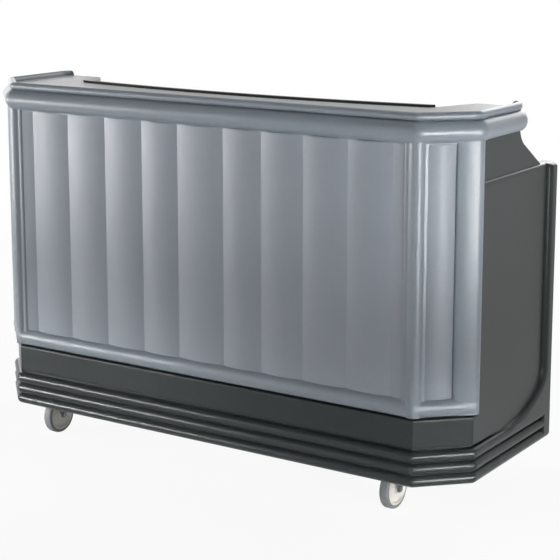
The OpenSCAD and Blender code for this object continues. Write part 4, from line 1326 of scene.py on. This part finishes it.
@dataclass
class EndWall:
    """One end wall: the recessed side with its post and sweeping foot, and the wing over its ledge."""

    plan: Plan
    wardrobe: Wardrobe
    side: Side
    wall_t: float = 40 * MM
    raised: float = 15 * MM
    foot_r: float = 438 * MM
    shoulder: float = 24 * MM
    lead: float = 4 * MM
    blend: float = 30 * MM
    foot_run: tuple[float, float] = (-70 * MM, 40 * MM)
    gap_run: tuple[float, float] = (-90 * MM, -20 * MM)
    cap: float = 14 * MM
    rear_r: float = 9 * MM
    ledge_z: float = 1007 * MM
    ledge_h: float = 17 * MM
    wing_set: float = 9 * MM
    wing_drop: float = 30 * MM
    wing_slope: float = 31.5
    wing_r: float = 75 * MM
    wing_edge: float = 3 * MM

    def side_out(self, y: Array, z: Array) -> Array:
        """Offset of the side's face: 0 on the flat, raised on the post and foot, bevelled at the ledge.

        The raised part's edge is where a signed distance is 0: the larger of the distance behind the
        post's line and the distance outside the sweep's circle, rounded where they meet.

        Args:
            y: Places from front to rear.
            z: Heights.

        Returns:
            Offsets.
        """
        p, tip = self.plan, self.plan.foot_tip
        up = z - (p.skirt_top + self.foot_r)
        below = np.where(up < 0.0, np.hypot(y - tip, up), y - tip) - self.foot_r
        below = np.where(y > tip, below, p.skirt_top - z)
        inside = soft_max(y - p.post_y, below, self.blend) + self.lead
        rise = np.clip(inside / self.shoulder, 0.0, 1.0)
        step = half_chord(1.0, 1.0 - rise) * smooth(*self.foot_run, y - tip)
        step = step * (1.0 - round_over((z - (self.ledge_z - self.cap)) / self.cap, 1.0))
        lip = round_over((z - (self.ledge_z - self.ledge_h)) / self.ledge_h, 1.0)
        groove = np.where(z < p.gap_top + TINY, 1.0 - smooth(*self.gap_run, y - tip), 0.0)
        rear = round_over(y - (p.rear_y - self.rear_r), self.rear_r)
        return self.raised * step - self.wing_set * lip - p.gap_in * groove - rear

    def plate(self, name: str, out: Array, ys: Array, zs: Array, crease: float,
              wear: Optional[Array] = None) -> Piece:
        """Plate on this end of the bar, closed by a flat inner face.

        Args:
            name: The piece's name after the side's.
            out: Offsets of the outer face.
            ys: Its places from front to rear.
            zs: Its heights.
            crease: Angle in degrees past which an edge is shaded sharp.
            wear: Wear of each outer point, or nothing.

        Returns:
            The plate.
        """
        depths = (out, 0.0 * ys - self.wall_t)
        outer, inner = (np.stack([self.plan.half_len + x, ys, zs], axis=2) for x in depths)
        mesh = slab(outer, inner, wear=wear)
        return make_piece(f"{self.side.word}_{name}", mesh if self.side > 0 else mesh.mirrored(), crease)

    def build_side(self) -> Piece:
        """Side: the offset's height field over the end.

        Returns:
            The side.
        """
        p, rear = self.plan, self.plan.rear_y
        y = stepped(p.return_y, (0.0, 16 * MM), (rear - 60 * MM, 5 * MM), (rear - 36 * MM, 1.2 * MM),
                    (rear - self.rear_r, 5 * MM), (rear, 1.1 * MM))
        z = merged([p.skirt_top - MM, p.gap_top, p.gap_top + 0.2 * MM],
                   stepped(p.gap_top + MM, (p.skirt_top + 40 * MM, 2 * MM), (560 * MM, 5 * MM),
                           (985 * MM, 12 * MM), (self.ledge_z, 1.1 * MM)))
        ys, zs = np.meshgrid(y, z, indexing="ij")
        out = self.side_out(ys, zs)
        wear = smooth(self.raised * 0.7, self.raised, out) * smooth(rear - 40 * MM, rear, ys)
        return self.plate("side", out, ys, zs, crease=38, wear=wear)

    def wing_rear(self, z: Array) -> Array:
        """Rear edge of the wing: upright, then a hollow arc, then a straight slope to the ledge.

        Args:
            z: Heights.

        Returns:
            The edge's y at each height.
        """
        p, r = self.plan, self.wing_r
        slope = math.radians(self.wing_slope)
        lean, knee_z = math.tan(slope), p.bar_z - self.wing_drop
        mid_z = knee_z - lean * r + r / math.cos(slope)
        arc = p.wing_y + r - half_chord(r, z - mid_z)
        straight = p.wing_y + (knee_z - z) / lean
        return np.where(z > mid_z, p.wing_y, np.where(z > mid_z - r * math.cos(slope), arc, straight))

    def build_wing(self) -> Piece:
        """Wing: rows from the fascia's return to the rear edge, a plate's thickness deep.

        Returns:
            The wing.
        """
        p = self.plan
        z = stepped(self.ledge_z - 2 * MM, (p.bar_z - 60 * MM, 8 * MM), (p.bar_z + MM, 2 * MM))
        rear = np.minimum(self.wing_rear(z), p.post_y)
        ys = p.return_y + (rear - p.return_y) * np.linspace(0.0, 1.0, 14)[:, None]
        zs = np.broadcast_to(z, ys.shape)
        piece = self.plate("wing", 0.0 * ys - self.wing_set, ys, zs, crease=30)
        round_edges(piece, self.wing_edge, angle=50)
        return piece

    def build(self) -> None:
        """Builds and dresses the side and the wing."""
        for piece in (self.build_side(), self.build_wing()):
            self.wardrobe.fit(piece, "body_plastic", f"{self.side.word}_end_wall")


# Casters

@dataclass
class Wheel:
    """One wheel: a dished plastic hub and a rounded tyre."""

    wardrobe: Wardrobe
    corner: str
    steps: int = 112
    tread_r: float = 8 * MM
    bead_r: float = 2 * MM
    wall_drop: float = 9 * MM

    @staticmethod
    def ring(node: str) -> tuple[Array, float, float]:
        """Centre, half width and radius of a round node about X."""
        low, high = (np.array(v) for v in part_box(node))
        return (low + high) / 2, (high[0] - low[0]) / 2, (high[2] - low[2]) / 2

    def build(self) -> None:
        """Builds both rings round the axle: rounded tyre, and hub with rim, dish and boss."""
        tyre, hub = f"{self.corner}_tyre", f"{self.corner}_hub"
        centre, half, outer = self.ring(tyre)
        hub_centre, hub_half, rim = self.ring(hub)
        flip = np.array([-1.0, 1.0])
        r, bead, a = self.tread_r, self.bead_r, np.linspace(0.0, math.pi / 2, 7)
        top = np.stack([half - r + r * np.sin(a), outer - r + r * np.cos(a)], axis=1)
        low = np.stack([half - bead + bead * np.cos(a), rim + bead - bead * np.sin(a)], axis=1)
        tread = np.vstack([[[0.0, outer]], top, [[half, outer - self.wall_drop]], low])
        tread = turned(np.vstack([tread, tread[:0:-1] * flip]), centre, self.steps)
        w, b, c = half / MM, hub_half / MM, rim / MM
        disc = MM * np.array([
            [0, 5.05], [b - 0.6, 5.05], [b, 5.65], [b, 12], [b - 1, 13], [13, 14], [11.5, 16], [10.6, 20],
            [10.6, 38], [11.2, 41.5], [13, 43], [15, 44], [w - 0.3, 45.4], [w, 46.4], [w, c - 1.6],
            [w - 1, c - 0.6], [w - 2.5, c], [0, c],
        ])
        disc = turned(np.vstack([disc, disc[-2:0:-1] * flip]), hub_centre, self.steps)
        fit, body = self.wardrobe.fit, f"{self.corner}_wheel"
        fit(make_piece(f"{self.corner}_tread", tread, crease=40), "tyre_rubber", tyre, body=body)
        fit(make_piece(f"{self.corner}_wheel_disc", disc, crease=28), "hub_plastic", hub, body=body)


# Fittings that keep their CAD shape

@dataclass(frozen=True)
class Fittings:
    """CAD nodes whose shape is right, and the finish of each."""

    finishes: Mapping[str, tuple[str, ...]] = field(default_factory=lambda: {
        "body_plastic": ("front_wall", "backsplash", "base_floor"),
        "deck_plastic": (*BOARDS, "shelf_cleats"),
        "foam_jacket": ("ice_bin_jacket",),
        "stainless": ("ice_bin", "lid_tracks", "left_ice_lid", "right_ice_lid", "speed_rail"),
        "stainless_upright": ("bottle_cups", "drain_spout"),
        "zinc_steel": ("rail_hangers", "hanger_screws", "swivel_races", "caster_bolts"),
        "valve_brass": ("bin_drain", "drain_nut", "drain_valve", "valve_ball"),
        "lever_red": ("valve_lever",),
        "board_white": ("cutting_board",),
        "pedal_plastic": ("left_brake_pedal", "right_brake_pedal"),
        "caster_steel": tuple(f"{c}_{part}" for c in CORNERS for part in ("plate", "fork", "axle")),
    })
    boards: tuple[str, ...] = (*BOARDS, "base_floor", "cutting_board", "backsplash")
    board_edge: float = 2 * MM

    def dress(self, wardrobe: Wardrobe) -> None:
        """Dresses every kept node, reports it, and rounds the boards' edges.

        Args:
            wardrobe: What dresses them.
        """
        for finish, names in self.finishes.items():
            for name in names:
                wardrobe.dress(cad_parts[name], finish)
                LOG.info("%s: kept, in %s", name, finish)
        for name in self.boards:
            round_edges(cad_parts[name], self.board_edge)


# Studio

@dataclass(frozen=True)
class Softbox:
    """A rectangular area lamp aimed at a point."""

    name: str
    place: tuple[float, float, float]
    aim: tuple[float, float, float]
    size: tuple[float, float]
    power: float
    spread: float = 180.0

    def hang(self) -> None:
        """Adds the lamp."""
        data = bpy.data.lights.new(self.name, "AREA")
        data.shape = "RECTANGLE"
        data.size, data.size_y = self.size
        data.energy = self.power
        data.spread = math.radians(self.spread)
        lamp = placed(self.name, data)
        lamp.location = self.place
        x, y, z = (a - b for a, b in zip(self.place, self.aim))
        lamp.rotation_euler = (math.atan2(math.hypot(x, y), z), 0.0, math.atan2(x, -y))


@dataclass(frozen=True)
class Studio:
    """White sweep, soft lamps and the camera of the photograph."""

    lamps: tuple[Softbox, ...] = (
        Softbox("left_main", (-3.0, -2.5, 0.62), (-0.2, -0.3, 0.65), (1.4, 0.8), 30.0),
        Softbox("left_upper", (-2.9, -2.2, 0.85), (-0.5, -0.32, 1.05), (0.8, 0.4), 0.9, 30.0),
        Softbox("left_graze", (-3.4, -1.6, 0.7), (0.0, -0.32, 1.24), (0.5, 0.5), 0.6, 22.0),
        Softbox("left_ribs", (-2.7, -2.6, 0.4), (-0.6, -0.3, 0.0), (1.2, 0.5), 3.0, 18.0),
        Softbox("left_side", (-3.2, -0.9, 1.0), (-0.9, -0.3, 0.9), (0.8, 1.0), 6.0, 120.0),
        Softbox("left_rear", (-3.0, 1.8, 1.3), (-0.6, 0.0, 0.9), (1.2, 1.2), 14.0),
        Softbox("front_soft", (0.6, -4.2, 0.7), (0.2, -0.3, 0.7), (1.2, 1.0), 10.0),
        Softbox("right_main", (3.5, -1.6, 0.6), (0.83, -0.25, 0.7), (0.8, 0.6), 17.0),
        Softbox("right_low", (2.9, -1.2, 0.6), (0.86, -0.2, 1.1), (0.6, 0.5), 1.8, 32.0),
        Softbox("right_ribs", (3.4, -1.55, 0.4), (0.83, -0.25, 0.0), (0.6, 0.5), 1.6, 16.0),
        Softbox("rear_soft", (0.3, 3.4, 2.6), (0.0, 0.2, 0.9), (2.4, 1.6), 70.0),
        Softbox("top_soft", (0.0, 0.4, 3.2), (0.0, 0.1, 1.2), (1.6, 1.0), 8.0, 90.0),
    )
    ambient: float = 0.07
    ceiling: tuple[float, float] = (0.3, 0.75)
    ceiling_fall: float = 0.75
    eye: tuple[float, float, float] = (2.897, -4.2765, 1.7613)
    pitch: float = 10.506
    yaw: float = 33.25
    lens: float = 102.41
    shift: float = -0.12
    floor_half: float = 30.0
    floor_glow: float = 0.92
    floor_gray: float = 0.92
    floor_fade: tuple[float, float] = (1.4, 5.0)
    sensor: float = 36.0
    clip: tuple[float, float] = (0.05, 200.0)

    def build_world(self) -> None:
        """World: white to the camera and in reflections, darker overhead, and an even ambient light."""
        world = bpy.data.worlds.new("studio")
        bpy.context.scene.world = world
        net = Net(world)
        coords = net.node("ShaderNodeTexCoord", {}, {})
        height = net.value(net.node("ShaderNodeSeparateXYZ", {}, {0: coords.outputs["Generated"]}), "Z")
        shown = net.seen() * (1.0 - height.ramp(*self.ceiling) * self.ceiling_fall)
        net.feed(net.shader, {"Color": WHITE, "Strength": net.math("MAXIMUM", shown, self.ambient)})

    def build_floor(self) -> None:
        """Floor: a wide pale sheet that glows white to the camera and keeps a soft shadow."""
        h = self.floor_half
        data = bpy.data.meshes.new("studio_floor")
        data.from_pydata([(-h, -h, 0), (h, -h, 0), (h, h, 0), (-h, h, 0)], [], [(0, 1, 2, 3)])
        floor = placed("studio_floor", data)
        net = Net(bpy.data.materials.new("studio_floor"))
        gray = (self.floor_gray, self.floor_gray, self.floor_gray, 1.0)
        net.feed(net.shader, {"Base Color": gray, "Roughness": 0.9, "Specular IOR Level": 0.0})
        glow = net.node("ShaderNodeEmission", {}, {"Color": WHITE, "Strength": 1.0})
        length = net.node("ShaderNodeVectorMath", {"operation": "LENGTH"}, {0: net.place()})
        far = net.value(length, "Value").ramp(*self.floor_fade)
        share = net.seen() * (far * (1.0 - self.floor_glow) + self.floor_glow)
        values = {0: share, 1: net.shader.outputs[0], 2: glow.outputs[0]}
        mixed = net.node("ShaderNodeMixShader", {}, values)
        net.feed(net.tree.nodes["Material Output"], {"Surface": mixed.outputs[0]})
        data.materials.append(net.owner)

    def build_camera(self) -> None:
        """Camera: the photograph's place, direction, lens and framing."""
        data = bpy.data.cameras.new("photo_camera")
        data.lens = self.lens
        data.sensor_width = self.sensor
        data.shift_y = self.shift
        data.clip_start, data.clip_end = self.clip
        camera = placed("photo_camera", data)
        camera.location = self.eye
        camera.rotation_euler = (math.radians(90.0 - self.pitch), 0.0, math.radians(self.yaw))
        bpy.context.scene.camera = camera

    def build(self) -> None:
        """Sets up the whole studio."""
        bpy.context.scene.view_settings.view_transform = "Standard"
        self.build_camera()
        self.build_world()
        self.build_floor()
        for lamp in self.lamps:
            lamp.hang()


def main() -> None:
    """Builds the studio, then the bar from its base up, and reports each piece."""
    logging.basicConfig(level=logging.INFO, format="%(message)s")
    Studio().build()
    wardrobe = Wardrobe(Finishes())
    plan = Plan.from_frame()
    Base(plan, wardrobe).build()
    Fascia(plan, wardrobe).build()
    BarTop(plan, wardrobe).build()
    for side in Side:
        EndWall(plan, wardrobe, side).build()
    for corner in CORNERS:
        Wheel(wardrobe, corner).build()
    Fittings().dress(wardrobe)


if __name__ == "__main__":
    main()
